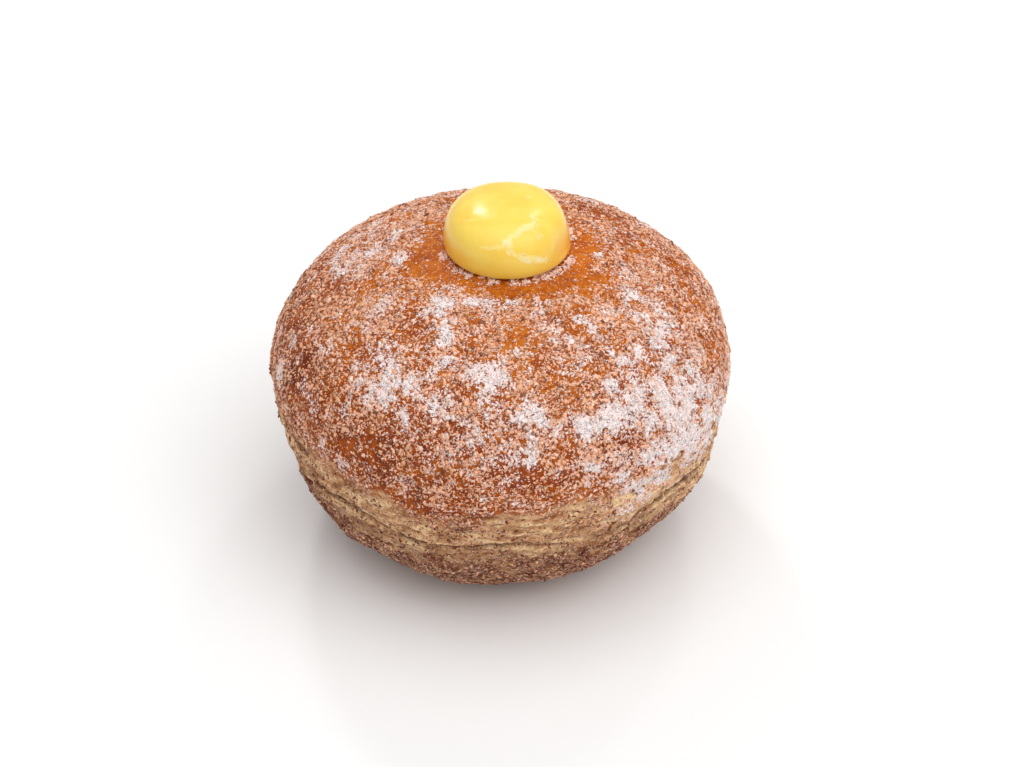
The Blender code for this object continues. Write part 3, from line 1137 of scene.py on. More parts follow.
@dataclass(frozen=True)
class SugarMap:
    """Where the sugar lies on the crust: drifts, bare spots and an uneven cover between them."""

    # Each row is azimuth, reach, length, width, tilt and strength, with lengths in mm.
    drifts: tuple[Patch, ...] = patches_from(
        (-47, 46, 13, 8, 0, 0.5), (-40, 55.4, 10.4, 7.4, -10, 1.25), (-99, 46.5, 10, 4.4, 0, 0.36),
        (-30, 36, 10, 7, 60, 0.45), (-58, 54.6, 7, 3, -6, 0.6), (-55, 27, 8, 4, 0, 0.42),
        (-124, 38, 8, 5.6, 30, 0.7), (-128, 21.5, 7, 3.6, 50, 0.5), (168, 27, 9, 6, 0, 0.45),
        (-92, 38, 10, 3.4, 40, 0.4), (-165, 46, 7, 5, 0, 0.35), (-126, 20.5, 4, 2.4, 35, 0.9),
        (-116, 25.5, 3.4, 1.5, 60, 0.8), (-128, 38, 5, 3, 10, 0.65), (-118, 40, 4.6, 2.6, 75, 0.95),
        (-96, 33.8, 3.4, 1.5, 40, 1.1), (-104, 41, 2.2, 1.3, 0, 0.6), (-81, 40, 3.4, 1.2, 50, 1.1),
        (-85, 40.6, 2, 1.4, 0, 0.9), (-83, 44.5, 3, 1.2, 70, 0.55), (-67, 44.4, 5, 2.6, -12, 0.95),
        (-54, 43, 6, 2.8, -8, 1.05), (-43, 44.8, 6, 4, 10, 1.3), (-35, 49.5, 4, 3.2, 70, 0.9),
        (-44, 56.4, 8, 3.2, -14, 1.15), (-68, 52.6, 2.4, 2, 0, 0.7), (-59, 26, 4.8, 2.4, 20, 0.95),
        (-64, 27.6, 1.7, 1.3, 0, 0.7), (-24, 26.6, 3, 2, 0, 0.75), (-22, 33, 5, 2.4, 80, 0.85),
        (-46, 37, 4.6, 2.2, 20, 0.65), (-34, 42.5, 4.8, 3.2, 60, 1), (-86, 28.2, 1.3, 0.8, 0, 0.8),
        (180, 20.6, 2.6, 1.7, 0, 0.85), (-167, 24.5, 1.6, 1.4, 0, 0.6), (-152, 40, 2, 1.6, 0, 0.55),
        (-165, 51, 5, 2.6, 80, 0.7), (162, 32, 9, 5, 0, 0.4), (154, 43, 9, 3.4, 0, 0.7),
        (-131, 17, 2, 1.3, 0, 0.8), (-112, 17.6, 2.4, 1.2, 0, 0.8), (-88, 16.6, 1.8, 0.9, 0, 0.7),
        (-7, 17, 1.6, 1, 0, 0.9), (-110, 39.8, 4.2, 1.8, 0, 0.65), (-85, 47.6, 3.4, 1.8, -15, 0.7),
        (-74, 44.6, 2.6, 1.6, 30, 0.6), (-98, 38, 2.4, 1.6, 0, 0.7), (-92, 33, 3.2, 1.5, 30, 0.8),
        (-42, 36, 2.4, 3, 0, 0.75), (-57, 38.6, 2.6, 1.8, 0, 0.75), (-44, 31.5, 2.6, 2.4, 0, 0.65),
        (-66, 34, 2.2, 1.4, 0, 0.6), (-44, 50, 3.4, 2.6, 0, 0.9), (-24, 60.5, 10, 5.4, -8, 1.2),
        (-137, 58, 5, 2, 10, 0.5), (-51, 61, 11, 5.4, -10, 0.85), (-107, 31.3, 3.6, 1.8, 0, 0.55),
        (-106, 24.3, 2.4, 1.6, 0, 0.5), (-75, 51, 3.4, 1.5, 0, 0.55), (-112, 45.6, 3, 1.6, 0, 0.5),
        (17, 29, 3, 2, 0, 0.6), (118, 40, 8, 4, 20, 0.8), (70, 47, 7, 3.2, -20, 0.9),
        (34, 37, 5, 2.4, 50, 0.7), (88, 28, 4, 2.2, 30, 0.7), (8, 53, 6, 3, 15, 0.7),
        (140, 54, 7, 3, -10, 0.7),
    )
    bare_spots: tuple[Patch, ...] = patches_from(
        (-91, 37.2, 3.2, 0.7, 8, 1), (-104, 35.8, 1.6, 1.5, 0, 0.9), (-129, 27, 2.4, 1.9, 0, 0.8),
        (-114, 41.6, 2.8, 0.9, 0, 0.8), (-61, 33.4, 2.6, 0.9, 0, 0.9), (-34, 38.8, 1.3, 0.9, 0, 0.9),
        (-64, 49, 1.3, 1, 0, 0.9), (-56, 49.4, 6, 1.6, -14, 0.22), (-130, 52.2, 3, 1.8, 20, 0.9),
        (-126, 56, 2, 1.8, 0, 0.8), (-117, 59.4, 3, 1.3, 10, 0.95), (-106, 60.4, 3.2, 1.2, 6, 0.9),
        (-102, 43.4, 2.4, 1, 0, 0.8), (-90, 41.4, 2.2, 0.8, 0, 0.8), (-51, 22.8, 2.2, 1.5, 0, 0.8),
        (-22, 20, 3, 1.6, 0, 0.8), (-146, 47, 4, 3, 0, 0.3), (-171, 44, 6, 3.6, 0, 0.6),
        (-158, 44.6, 3, 3.4, 0, 0.6), (-120, 44.6, 3, 1.6, 0, 0.6), (-95, 59.4, 5, 2, 0, 0.7),
        (-75, 49, 3, 1.2, 0, 0.5), (-87, 26.7, 2.6, 1.8, 0, 0.7), (-88, 53.4, 5, 2, -20, 0.65),
        (-8, 41, 4, 5, 0, 0.6), (-120, 59.6, 2.4, 2.2, 0, 0.8), (-103, 27.6, 2.4, 1.1, 0, 0.5),
        (-133, 31, 2, 1.5, 0, 0.6), (-70, 57, 5, 1.6, 0, 0.6), (-68, 21.2, 2.6, 1.8, 0, 0.9),
        (-22, 49.6, 2.6, 3, 0, 0.6), (32, 26.8, 11, 4.2, -16, 0.85), (6, 36, 8, 4, -30, 0.65),
        (15, 24, 6, 2.4, 0, 0.45), (60, 34, 4, 2, 0, 0.8), (130, 30, 3, 1.6, 0, 0.6),
        (100, 52, 5, 2, 0, 0.6),
    )

    # How ragged the drifts are, and the scattered ones between them.
    edges: Cloud = Cloud(91, 5.0 * MM, 4)
    drift_edges: float = 0.6
    drift_bar: float = 0.08
    scatter: Cloud = Cloud(121, 6.0 * MM, 5)
    scatter_bar: float = 0.6
    scatter_share: float = 0.5
    bare_drift: float = 0.8
    band_drift_loss: float = 0.08
    bare_gloss: float = 0.6

    # The share of each region that grains cover, and what thins it.
    crown_cover: float = 0.48
    band_cover: float = 0.14
    below_cover: float = 0.44
    sole_cover: float = 0.48
    sole_level: float = 9.0 * MM
    patchy: Cloud = Cloud(101, 9.0 * MM, 5)
    patchy_share: float = 0.30
    patchy_sole: float = 0.25
    bare_cover: float = 0.85
    bare_edges: float = 0.4
    drift_cover: float = 0.2
    drift_band_cover: float = 0.25
    ring_loss: float = 0.95
    lower_left: Swell = Swell(azimuth=-132.0, level=53.0 * MM, width=34.0, spread=9.0 * MM, rise=1.0)
    lower_left_loss: float = 0.38
    limb_azimuth: float = 180.0
    limb_width: float = 36.0
    limb_reaches: tuple[float, float] = (28.0 * MM, 42.0 * MM)
    limb_loss: float = 0.3

    # The tints run from dusky at zero to white at one.
    crown_tint: float = 0.52
    band_tint: float = 0.16
    # The sole's low tint darkens its grains: painted shade on the underside.
    sole_tint: float = 0.17
    drift_tint: float = 0.66
    # The lowered tint on the left limb and the lower left is painted shade on the left side.
    left_shade_tint: float = -0.14
    lower_left_shade_share: float = 0.5
    blush: Cloud = Cloud(131, 5.0 * MM)
    blush_share: float = 0.05
    highest: float = 1.2

    def strongest(self, group: tuple[Patch, ...], skin: SkinPlaces) -> Array:
        """Return the greatest strength of a group of patches at each place."""
        strengths = [patch.at(skin.azimuth, skin.reach, skin.radius) for patch in group]
        return np.maximum.reduce(strengths)

    def fields(self, skin: SkinPlaces, band: Array, sole: Array, ring: Array) -> dict[Field, Array]:
        """Return the fields of the sugar.

        The drifts are the strongest patches with rough edges, plus scattered ones on the
        crown. The cover mixes the four covers by region, made patchy, thinner at the bare
        spots, the ring and the left, and thicker under the drifts. The tint mixes the
        regions' tints in the same way, and is lowered on the sole and on the left as
        painted shade.

        Args:
            skin: the grid's places.
            band: share of the pale band.
            sole: share of what lies below the band.
            ring: share of the bare ring.

        Returns:
            The sugar, its drifts, the gloss and the tint at each place.
        """
        bare = self.strongest(self.bare_spots, skin)
        edges = self.edges.at(skin.points)
        crown = np.clip(1.0 - band - sole, 0.0, 1.0)
        scattered = np.clip(self.scatter.at(skin.points) - self.scatter_bar, 0.0, 1.0)
        drifts = self.strongest(self.drifts, skin) * (1.0 + self.drift_edges * edges)
        powder = drifts - self.drift_bar + self.scatter_share * scattered * crown
        powder = np.clip(powder * (1.0 - self.bare_drift * bare), 0.0, self.highest)

        lower_left = self.lower_left.at(skin.azimuth, skin.reach)
        limb = bell(turn_between(skin.azimuth, self.limb_azimuth), self.limb_width)
        limb = limb * smooth_step(skin.reach, *self.limb_reaches)
        low_cover = np.where(skin.level > self.sole_level, self.below_cover, self.sole_cover)
        cover = self.crown_cover * crown + self.band_cover * band + low_cover * sole
        patchiness = self.patchy_share + self.patchy_sole * sole
        bareness = np.clip(bare * (1.0 + self.bare_edges * edges), 0.0, 1.0)
        cover = cover * (1.0 + patchiness * self.patchy.at(skin.points))
        cover = cover * (1.0 - self.bare_cover * bareness)
        cover = cover + (self.drift_cover + self.drift_band_cover * band) * powder
        cover = np.clip(cover, 0.0, 1.0) * (1.0 - self.lower_left_loss * lower_left)
        cover = cover * (1.0 - self.limb_loss * limb) * (1.0 - self.ring_loss * ring)

        drifted = np.clip(powder, 0.0, 1.0)
        tint = self.crown_tint + self.blush_share * self.blush.at(skin.points)
        tint += (self.band_tint - self.crown_tint) * band * (1.0 - drifted)
        # The sole's grains are darkened as painted shade; the drifts are whiter.
        tint += (self.sole_tint - self.crown_tint) * sole + self.drift_tint * drifted
        # Painted shade on the left limb and the lower left.
        tint += self.left_shade_tint * (limb + self.lower_left_shade_share * lower_left)
        return {
            Field.SUGAR: cover * skin.outside,
            Field.POWDER: powder * (1.0 - ring) * (1.0 - self.band_drift_loss * band),
            Field.GLOSS: np.clip(ring + self.bare_gloss * bare, 0.0, 1.0),
            Field.TINT: np.clip(tint, 0.0, self.highest),
        }


@dataclass(frozen=True)
class CrustRelief:
    """The crust's fine relief over the CAD form: dimples, and wrinkles round the waist."""

    dimple_height: float = 0.11 * MM
    dimples: Cloud = Cloud(21, 5.5 * MM, 2)
    pimple_height: float = 0.05 * MM
    pimples: Ripple = Ripple(31, 1.7 * MM)
    wrinkle_depth: float = 0.30 * MM
    wrinkles: Ripple = Ripple(41, 12.0 * MM, waves=40, upright=5.2)
    fold_depth: float = 0.24 * MM
    folds: Ripple = Ripple(51, 25.0 * MM, waves=30, upright=6.5)
    band_levels: tuple[float, float] = (18.0 * MM, 34.0 * MM)
    band_blend: float = 3.0 * MM
    crest: float = 0.2
    sink: float = 0.12 * MM

    def at(self, points: Array, free: Array, level: Array) -> Array:
        """Return the fine relief at each plain point.

        The wrinkles are minus the absolute value of a ripple whose wave numbers are nearly
        upright, so they run round the waist as narrow valleys. The skin sinks a little under
        the plain form, so that the grains on it end near the form.

        Args:
            points: the plain points.
            free: 1 where the surface may be uneven, 0 round the hole and on the base.
            level: level of each plain point.

        Returns:
            The relief in metres, outwards.
        """
        low, high = self.band_levels
        rising = smooth_step(level, low - self.band_blend, low + self.band_blend)
        band = rising * (1.0 - smooth_step(level, high - self.band_blend, high + self.band_blend))
        dimples = self.dimple_height * self.dimples.at(points)
        pimples = self.pimple_height * self.pimples.at(points)
        wrinkles = self.wrinkle_depth * (self.crest - np.abs(self.wrinkles.at(points)))
        wrinkles = wrinkles + self.fold_depth * (self.crest - np.abs(self.folds.at(points)))
        return free * (dimples + pimples + band * wrinkles - self.sink)


@dataclass
class CrustBody:
    """The dough body: its skin with fine relief, the pale band and the map of its sugar."""

    form: DoughForm = DoughForm()
    relief: CrustRelief = CrustRelief()
    finish: CrustFinish = CrustFinish()
    sugar: SugarMap = SugarMap()

    # Each row of bells is an azimuth, a width in degrees and a height.
    band_top: float = 33.2 * MM
    band_top_swells: Bells = (
        (-28.0, 24.0, 4.6 * MM),
        (-73.0, 9.0, 1.5 * MM),
        (-105.0, 9.0, -3.2 * MM),
    )
    band_bottom: float = 20.6 * MM
    band_bottom_swells: Bells = (
        (-115.0, 40.0, -4.3 * MM),
        (-12.0, 30.0, -6.0 * MM),
    )
    # Below a wandering level under the waist the colour darkens toward the bottom: painted shade.
    bottom_shade_level: float = 23.2 * MM
    bottom_shade_swells: Bells = ((-12.0, 30.0, -6.0 * MM),)
    bottom_shade_blend: float = 4.0 * MM
    bottom_shade_share: float = 0.6
    band_blend: float = 1.9 * MM
    band_ragged: float = 0.9 * MM
    band_edges: Cloud = Cloud(61, 9.0 * MM, 4, upright=1.6)
    # Painted shade in the creases, by their depth.
    crease_gain: float = 1.3
    crease_share: float = 0.9

    least_brown: float = 0.20
    outward_brown: float = 0.37
    outward_reaches: tuple[float, float] = (16.0 * MM, 56.0 * MM)
    left_brown: float = 0.14
    left_azimuth: float = -140.0
    blotch_brown: float = 0.09
    blotches: Cloud = Cloud(71, 16.0 * MM)
    brown_behind: Swell = Swell(azimuth=32.0, level=28.0 * MM, width=32.0, spread=11.0 * MM, rise=0.28)

    ring_outer: float = 15.0 * MM
    ring_swells: Bells = (
        (-34.0, 30.0, 3.4 * MM),
        (-86.0, 16.0, 1.2 * MM),
        (-164.0, 24.0, 4.4 * MM),
        (60.0, 30.0, 1.6 * MM),
    )
    ring_ragged: float = 0.8 * MM
    ring_edges: Cloud = Cloud(81, 5.0 * MM, 4)
    ring_fade: tuple[float, float] = (0.8 * MM, 1.4 * MM)

    def places(self) -> SkinPlaces:
        """Return the grid's places: the profile carried once round the axis, made uneven.

        Returns:
            The places, with the fine relief in their points.
        """
        azimuth, radius, level, reach = turned(self.form.profile(), self.form.turns)
        turn = np.radians(azimuth)
        plain = np.stack((radius * np.cos(turn), radius * np.sin(turn), level), axis=-1)
        free = self.form.freedom(radius, level)
        points = self.form.placed(azimuth, radius, level, self.relief.at(plain, free, level))
        outside = (reach > 0.0).astype(float)
        return SkinPlaces(azimuth, radius, level, reach, outside, points)

    def band(self, skin: SkinPlaces) -> tuple[Array, Array]:
        """Return the pale band's share and the share of what lies below it.

        Args:
            skin: the grid's places.

        Returns:
            The band, between two wandering and ragged edges, and the sole below the lower one.
        """
        height = skin.points[..., 2]
        ragged = self.band_ragged * self.band_edges.at(skin.points)
        top = self.band_top + swollen(skin.azimuth, self.band_top_swells) + ragged
        bottom = self.band_bottom + swollen(skin.azimuth, self.band_bottom_swells) + ragged
        under_top = 1.0 - smooth_step(height, top - self.band_blend, top + self.band_blend)
        over_bottom = smooth_step(height, bottom - self.band_blend, bottom + self.band_blend)
        return under_top * over_bottom, (1.0 - over_bottom) * skin.outside

    def browning(self, skin: SkinPlaces) -> Array:
        """Return how brown the crust is: golden at the dimple, darker to the shoulder and left.

        Args:
            skin: the grid's places.

        Returns:
            The least browning plus its shares outwards, to the left, in blotches and behind.
        """
        outward = smooth_step(skin.reach, *self.outward_reaches)
        left = self.left_brown * np.cos(np.radians(skin.azimuth - self.left_azimuth))
        browning = self.least_brown + self.outward_brown * outward + left * outward
        browning = browning + self.blotch_brown * self.blotches.at(skin.points)
        return browning + self.brown_behind.at(skin.azimuth, skin.reach)

    def bare_ring(self, skin: SkinPlaces) -> Array:
        """Return the share of the bare, glossy ring that surrounds the custard.

        Args:
            skin: the grid's places.

        Returns:
            1 inside a wandering and ragged edge, and 0 outside it.
        """
        away = np.hypot(skin.points[..., 0] - self.form.hole_lean, skin.points[..., 1])
        edge = self.ring_outer + self.ring_ragged * self.ring_edges.at(skin.points)
        edge = edge + swollen(skin.azimuth, self.ring_swells)
        inside, beyond = self.ring_fade
        return (1.0 - smooth_step(away, edge - inside, edge + beyond)) * skin.outside

    def build(self) -> Grid:
        """Build the crust as one piece that stands for the dough node.

        Returns:
            The grid with its fields, for the sugar to be scattered on.
        """
        skin = self.places()
        grid = Grid(skin.points)
        band, sole = self.band(skin)
        # Painted shade: darker toward the bottom under the waist, and in the creases by their depth.
        bottom_shade_edge = self.bottom_shade_level + swollen(skin.azimuth, self.bottom_shade_swells)
        wear_and_shade = smooth_step(bottom_shade_edge - skin.level, 0.0, self.bottom_shade_blend)
        depth = self.form.creases(skin.azimuth, skin.level) / self.form.crease_depth
        grid.fields = {
            Field.BROWNING: self.browning(skin),
            Field.BAND: band,
            Field.SOLE: np.clip(sole + self.bottom_shade_share * wear_and_shade, 0.0, 1.0),
            Field.CREASE: np.clip(self.crease_gain * depth, 0.0, 1.0) * self.crease_share,
        }
        grid.fields.update(self.sugar.fields(skin, band, sole, self.bare_ring(skin)))
        piece = dressed(grid.piece("crust"), self.finish.material())
        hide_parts("dough")
        return grid


@dataclass
class CustardDollop:
    """The custard: the dollop on the crown and the neck that fills the hole."""

    dough: DoughForm = DoughForm()
    form: CustardForm = CustardForm()
    finish: CustardFinish = CustardFinish()
    # Where and how strongly the low sides turn orange, most at the left and right: painted shade and
    # painted crust reflection.
    deep_levels: tuple[float, float] = (61.5 * MM, 71.5 * MM)
    deep_front: float = 0.08
    deep_side: float = 0.9
    # Each row is azimuth, reach, length, width, tilt and strength, with lengths in mm.
    # The small patch at azimuth 15 sits where a faint highlight falls: a painted highlight as well as a
    # sugar smear.
    smears: tuple[Patch, ...] = patches_from(
        (-57, 8.4, 2, 0.8, 0, 0.7), (-72, 8.8, 2, 0.8, -25, 0.85), (-90, 10.8, 1.7, 0.9, -39, 1),
        (-107, 12.5, 1.8, 0.6, -12, 0.8), (-88, 12.8, 1, 1.2, 0, 0.8), (-76, 14.6, 1.7, 0.9, 32, 0.9),
        (-63, 15.2, 2.4, 0.8, 20, 1), (-57, 10.6, 1.4, 0.9, 60, 0.55), (-46, 6.7, 0.9, 0.9, 0, 0.8),
        (15, 4.1, 0.7, 0.7, 0, 0.6), (-143, 8.7, 1.5, 0.45, -32, 0.55),
    )

    def build(self) -> Grid:
        """Build the custard as one piece that stands for its node.

        Returns:
            The grid with the smear's field.
        """
        profile = self.form.profile(self.dough)
        azimuth, radius, level = turned(profile, self.form.turns)
        reach = travelled(profile)[:, None]
        grid = Grid(self.form.placed(azimuth, radius, level, self.dough))
        smear = sum(patch.at(azimuth, reach, radius) for patch in self.smears)
        # The low sides, most at the left and right, turn orange: painted shade and painted crust
        # reflection.
        lowness = 1.0 - smooth_step(level, *self.deep_levels)
        sideways = np.abs(np.cos(np.radians(azimuth))) ** 3
        deep = lowness * (self.deep_front + self.deep_side * sideways)
        grid.fields = {Field.SMEAR: np.clip(smear, 0.0, 1.0), Field.DEEP: np.clip(deep, 0.0, 1.0)}
        piece = dressed(grid.piece("custard_dollop"), self.finish.material())
        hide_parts("custard")
        return grid


class GrainShape(Enum):
    """The forms of a sugar grain, as unit corner points and the faces between them."""

    CRYSTAL = "crystal"
    SHARD = "shard"
    SPLINTER = "splinter"
    CLUMP = "clump"

    @property
    def half(self) -> float:
        """Return half the form's width: a little more for a shard, and less for a splinter."""
        return {GrainShape.SHARD: 0.62, GrainShape.SPLINTER: 0.46}.get(self, 0.5)

    def solid(self) -> tuple[Array, Array]:
        """Return the form's corner points, about one across, and its triangles or quads.

        A crystal is a cube, a shard an octahedron, a splinter a tetrahedron and a clump an
        icosahedron.

        Returns:
            The corner points, and the corner numbers of each face.
        """
        if self is GrainShape.CRYSTAL:
            points = [(x, y, z) for x in (-1, 1) for y in (-1, 1) for z in (-1, 1)]
            faces = [(0, 1, 3, 2), (4, 6, 7, 5), (0, 4, 5, 1), (2, 3, 7, 6), (0, 2, 6, 4), (1, 5, 7, 3)]
            return np.array(points) * self.half, np.array(faces)
        if self is GrainShape.SHARD:
            points = [(1, 0, 0), (0, 1, 0), (-1, 0, 0), (0, -1, 0), (0, 0, 1), (0, 0, -1)]
            upper = [(side, (side + 1) % 4, 4) for side in range(4)]
            lower = [((side + 1) % 4, side, 5) for side in range(4)]
            return np.array(points) * self.half, np.array(upper + lower)
        if self is GrainShape.SPLINTER:
            points = [(1, 1, 1), (1, -1, -1), (-1, 1, -1), (-1, -1, 1)]
            faces = [(0, 1, 2), (0, 3, 1), (0, 2, 3), (1, 3, 2)]
            return np.array(points) * self.half, np.array(faces)
        golden = (1.0 + math.sqrt(5.0)) / 2.0
        plane = [(a, b * golden) for a in (-1, 1) for b in (-1, 1)]
        points = [(0, a, b) for a, b in plane]
        points += [(a, b, 0) for a, b in plane] + [(b, 0, a) for a, b in plane]
        points = np.array(points) / math.hypot(1.0, golden) * self.half
        apart = np.linalg.norm(points[:, None] - points[None], axis=-1)
        near = apart < 1.1 * apart[apart > 0].min()
        faces = []
        for a, b, c in combinations(range(12), 3):
            if near[a, b] and near[b, c] and near[a, c]:
                side = np.dot(np.cross(points[b] - points[a], points[c] - points[a]), points[a])
                faces.append((a, b, c) if side > 0 else (a, c, b))
        return points, np.array(faces)


def lying_turns(outward: Array, tilt: float, draw: np.random.Generator) -> Array:
    """Return random rotations that lay a grain's third axis near the outward direction.

    The third axis is the outward direction plus a random offset, made a unit. The first is
    square to it and to a random direction, and the second is square to both.

    Args:
        outward: the outward direction at each grain.
        tilt: size of the random offset.
        draw: the random generator.

    Returns:
        One 3 by 3 matrix a grain, with the axes as its columns.
    """
    third = outward + tilt * draw.normal(size=outward.shape)
    third /= np.linalg.norm(third, axis=-1, keepdims=True)
    first = np.cross(third, draw.normal(size=outward.shape))
    first /= np.linalg.norm(first, axis=-1, keepdims=True)
    return np.stack((first, np.cross(third, first), third), axis=-1)


@dataclass(frozen=True)
class GrainKind:
    """One kind of grain: its form, how many there are, and how large and how deep they sit."""

    name: str
    shape: GrainShape
    count: int
    seed: int
    size: float
    size_spread: float = 0.28
    lift: float = 0.06
    lift_spread: float = 0.05
    tilt: float = 0.22
    tint_spread: float = 0.13
    dusky_share: float = 0.11
    dusky_slope: tuple[float, float] = (1.4, 0.8)
    dusky_factor: float = 0.05
    size_limits: tuple[float, float] = (0.5, 1.9)
    lowest: float = 0.02 * MM
    jitter: float = 0.16
    spare: float = 1.7
    least_shape: tuple[float, float, float] = (0.9, 0.6, 0.25)
    most_shape: tuple[float, float, float] = (1.7, 1.0, 0.5)
    lace: Ripple = Ripple(seed=300, wavelength=1.3 * MM)
    lace_noise: float = 0.45

    def build(self, grid: Grid, weight: Array, tints: Array, material: bpy.types.Material) -> None:
        """Build all the grains of the kind as one joined mesh on a surface.

        Each grain is the unit form with jittered corners, stretched, times its size, laid
        near flat at a sampled place and lifted outwards by a part of its size. Sizes are the
        kind's size times e to a normal draw. A share of the grains is dusky, and less of it
        where the sugar is whitest. Spare places are dropped where the lace, a fine ripple
        plus noise, is lowest, so the grains gather in a net with gaps.

        Args:
            grid: the surface they lie on.
            weight: how thick they lie at each ring and turn.
            tints: their tint at each ring and turn.
            material: the sugar's material.
        """
        draw = np.random.default_rng(self.seed)
        tried = round(self.count * self.spare)
        places, outward, ring, turn = grid.sample(weight, tried, draw)
        rank = np.argsort(self.lace_noise * draw.normal(size=tried) - self.lace.at(places))
        kept = rank[: self.count]
        places, outward, tint = places[kept], outward[kept], tints[ring[kept], turn[kept]]
        sizes = self.size * np.exp(self.size_spread * draw.normal(size=self.count))
        least, most = self.size_limits
        sizes = np.clip(sizes, least * self.size, most * self.size)
        lifts = sizes * (self.lift + self.lift_spread * draw.normal(size=self.count))
        centres = places + outward * lifts[:, None]
        corners, faces = self.shape.solid()
        stretch = draw.uniform(self.least_shape, self.most_shape, size=(self.count, 3))
        crooked = corners + self.jitter * draw.uniform(-1.0, 1.0, (self.count, *corners.shape))
        turned = lying_turns(outward, self.tilt, draw)
        local = np.einsum("gij,gvj->gvi", turned, crooked * stretch[:, None])
        points = centres[:, None] + local * sizes[:, None, None]
        points[..., 2] = np.maximum(points[..., 2], self.lowest)
        numbers = faces[None] + np.arange(self.count)[:, None, None] * len(corners)
        totals = np.full(self.count * len(faces), faces.shape[1])
        mesh = faced_mesh(self.name, points.reshape(-1, 3), numbers.ravel(), totals)
        dusky_share = self.dusky_share * (self.dusky_slope[0] - self.dusky_slope[1] * tint)
        tint = tint + self.tint_spread * draw.normal(size=self.count)
        dusky = draw.random(self.count) < dusky_share
        tint = np.where(dusky, tint * self.dusky_factor, tint)
        store_field(mesh, Field.TINT, np.repeat(np.clip(tint, 0.0, 1.0), len(corners)))
        dressed(linked(self.name, mesh), material)


@dataclass
class SugarCoat:
    """All the loose sugar: grains of five kinds on the crust, and a few on the custard."""

    finish: SugarFinish = SugarFinish()
    # Each kind gives its name, its form, how many grains there are, its seed and its size.
    kinds: tuple[GrainKind, ...] = (
        GrainKind("sugar_crystals", GrainShape.CRYSTAL, 15500, 201, 0.38 * MM),
        GrainKind("sugar_shards", GrainShape.SHARD, 24000, 202, 0.38 * MM),
        GrainKind("sugar_splinters", GrainShape.SPLINTER, 48000, 203, 0.38 * MM),
        GrainKind("sugar_dust", GrainShape.SPLINTER, 48000, 204, 0.26 * MM),
    )
    clumps: GrainKind = GrainKind("sugar_clumps", GrainShape.CLUMP, 4000, 205, 0.36 * MM)
    rim: GrainKind = GrainKind(
        "rim_sugar", GrainShape.CRYSTAL, 1800, 206, 0.28 * MM,
        lift=0.35, tilt=0.8, spare=1.2, dusky_share=0.03,
    )
    fallen: GrainKind = GrainKind(
        "custard_sugar", GrainShape.SHARD, 60, 207, 0.18 * MM, lift=0.0, spare=1.0, dusky_share=0.0
    )
    rim_radius: float = 12.7 * MM
    rim_front_drop: float = 0.8 * MM
    rim_spread: float = 0.5 * MM
    rim_swells: Bells = ((-5.0, 15.0, -1.0), (-165.0, 16.0, -1.0))
    rim_gaps: Cloud = Cloud(111, 2.5 * MM)
    rim_gap_share: float = 0.7
    rim_share: float = 0.4
    rim_most: float = 1.5
    rim_lowest: float = 50.0 * MM
    most_cover: float = 0.93
    table_gap: float = 1.2 * MM
    rim_tint: float = 0.74
    fallen_tint: float = 0.95

    def build(self, crust: Grid, custard: Grid, lean: float) -> None:
        """Build every kind of grain.

        The thickness is -log(1 - cover), the number of grains that gives the cover when they
        fall at random. The clumps lie in the drifts, and the rim's grains on a broken line
        round the custard.

        Args:
            crust: the crust's grid with its fields.
            custard: the custard's grid with its field.
            lean: how far the custard's axis lies to the side.
        """
        material = self.finish.material()
        cover = crust.fields[Field.SUGAR]
        powder = np.clip(crust.fields[Field.POWDER], 0.0, 1.0)
        tints = crust.fields[Field.TINT]
        height = crust.points[..., 2]
        thick = -np.log1p(-np.clip(cover, 0.0, self.most_cover)) * (height > self.table_gap)
        for kind in self.kinds:
            kind.build(crust, thick, tints, material)
        self.clumps.build(crust, powder * thick, tints, material)

        away = np.hypot(crust.points[..., 0] - lean, crust.points[..., 1])
        azimuth = np.degrees(np.arctan2(crust.points[..., 1], crust.points[..., 0] - lean))
        middle = self.rim_radius + self.rim_front_drop * np.minimum(np.sin(np.radians(azimuth)), 0.0)
        broken = self.rim_share + self.rim_gap_share * self.rim_gaps.at(crust.points)
        broken = broken + swollen(azimuth, self.rim_swells)
        line = bell(away - middle, self.rim_spread) * np.clip(broken, 0.0, self.rim_most)
        line = line * (height > self.rim_lowest)
        self.rim.build(crust, line, np.full_like(line, self.rim_tint), material)
        smear = custard.fields[Field.SMEAR]
        self.fallen.build(custard, smear**2, np.full_like(smear, self.fallen_tint), material)


@dataclass(frozen=True)
class SoftLight:
    """A square studio light that points at the doughnut from an azimuth and an elevation."""

    name: str
    azimuth: float
    elevation: float
    distance: float
    size: float
    power: float

    def build(self, target: Vector) -> None:
        """Make the light and aim it at the target.

        Args:
            target: the point that it faces.
        """
        data = bpy.data.lights.new(self.name, "AREA")
        data.size = self.size
        data.energy = self.power
        turn, lift = math.radians(self.azimuth), math.radians(self.elevation)
        flat = math.cos(lift)
        way = Vector((math.cos(turn) * flat, math.sin(turn) * flat, math.sin(lift)))
        light = bpy.data.objects.new(self.name, data)
        light.location = target + way * self.distance
        light.rotation_euler = way.to_track_quat("Z", "Y").to_euler()
        bpy.context.scene.collection.objects.link(light)


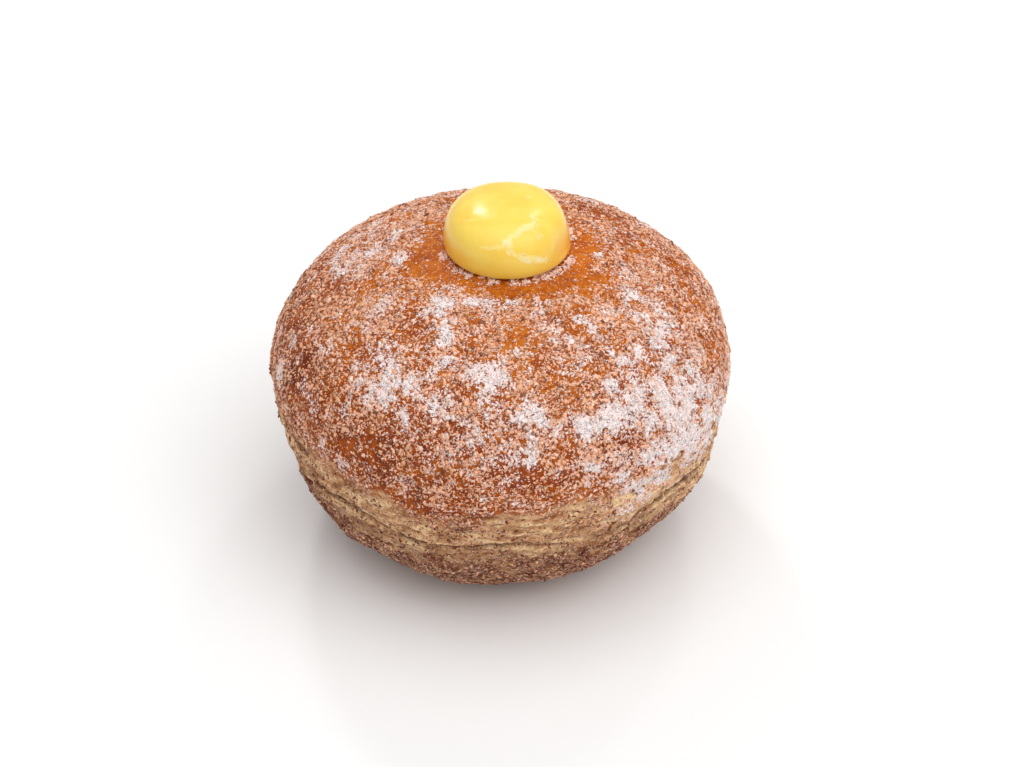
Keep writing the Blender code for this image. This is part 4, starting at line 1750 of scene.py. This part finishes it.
@dataclass
class Studio:
    """The floor, the lights, the world and the camera at the photograph's viewing angle."""

    floor: FloorFinish = FloorFinish()
    floor_half: float = 1.5
    aim: tuple[float, float, float] = (0.0, 0.0, 0.036)
    elevation: float = 37.0
    distance: float = 0.4
    focal_pixels: float = 2024.0
    image_width: int = 1024
    pixels_per_metre: float = 5060.0
    aim_pixels: tuple[float, float] = (10.7, -27.9)
    sensor: float = 36.0
    world_strength: float = 0.53
    world_colour: Colour = (1.0, 1.0, 1.0)
    clip_start: float = 0.01
    lights: tuple[SoftLight, ...] = (
        SoftLight("overhead", azimuth=-70.0, elevation=78.0, distance=0.9, size=1.0, power=4.3),
        SoftLight("right_fill", azimuth=-30.0, elevation=40.0, distance=0.9, size=0.8, power=1.8),
        SoftLight("back_spot", azimuth=108.0, elevation=44.0, distance=0.6, size=0.07, power=0.5),
        SoftLight("right_spot", azimuth=67.0, elevation=48.0, distance=0.6, size=0.07, power=0.2),
    )

    def build(self) -> None:
        """Build the studio and the camera."""
        corners = np.array([(-1, -1, 0), (1, -1, 0), (1, 1, 0), (-1, 1, 0)]) * self.floor_half
        mesh = faced_mesh("floor", corners, np.arange(4), np.array([4]))
        mesh.materials.append(self.floor.material())
        linked("floor", mesh)
        target = Vector(self.aim)
        for light in self.lights:
            light.build(target)
        scene = bpy.context.scene
        scene.world = bpy.data.worlds.new("studio")
        scene.world.use_nodes = True
        background = scene.world.node_tree.nodes["Background"]
        background.inputs["Color"].default_value = (*self.world_colour, 1.0)
        background.inputs["Strength"].default_value = self.world_strength
        scene.view_settings.view_transform = "Standard"
        self.build_camera(target)

    def build_camera(self, target: Vector) -> None:
        """Make the camera: the eye looks down on the target, aimed a little beside it.

        Args:
            target: the point that it looks down on.
        """
        lift = math.radians(self.elevation)
        way = Vector((0.0, -math.cos(lift), math.sin(lift)))
        up = Vector((0.0, math.sin(lift), math.cos(lift)))
        eye = target + way * self.distance
        right_shift, up_shift = (pixels / self.pixels_per_metre for pixels in self.aim_pixels)
        looked_at = target + Vector((right_shift, 0.0, 0.0)) + up * up_shift
        data = bpy.data.cameras.new("camera")
        data.sensor_width = self.sensor
        data.lens = self.sensor * self.focal_pixels / self.image_width
        data.clip_start = self.clip_start
        camera = bpy.data.objects.new("camera", data)
        camera.location = eye
        camera.rotation_euler = (looked_at - eye).to_track_quat("-Z", "Y").to_euler()
        bpy.context.scene.collection.objects.link(camera)
        bpy.context.scene.camera = camera


def main() -> None:
    """Build the studio, the crust, the custard and the sugar, and report each piece."""
    logging.basicConfig(level=logging.INFO, format="%(name)s: %(message)s")
    Studio().build()
    body = CrustBody()
    crust = body.build()
    custard = CustardDollop().build()
    SugarCoat().build(crust, custard, body.form.hole_lean)


if __name__ == "__main__":
    main()
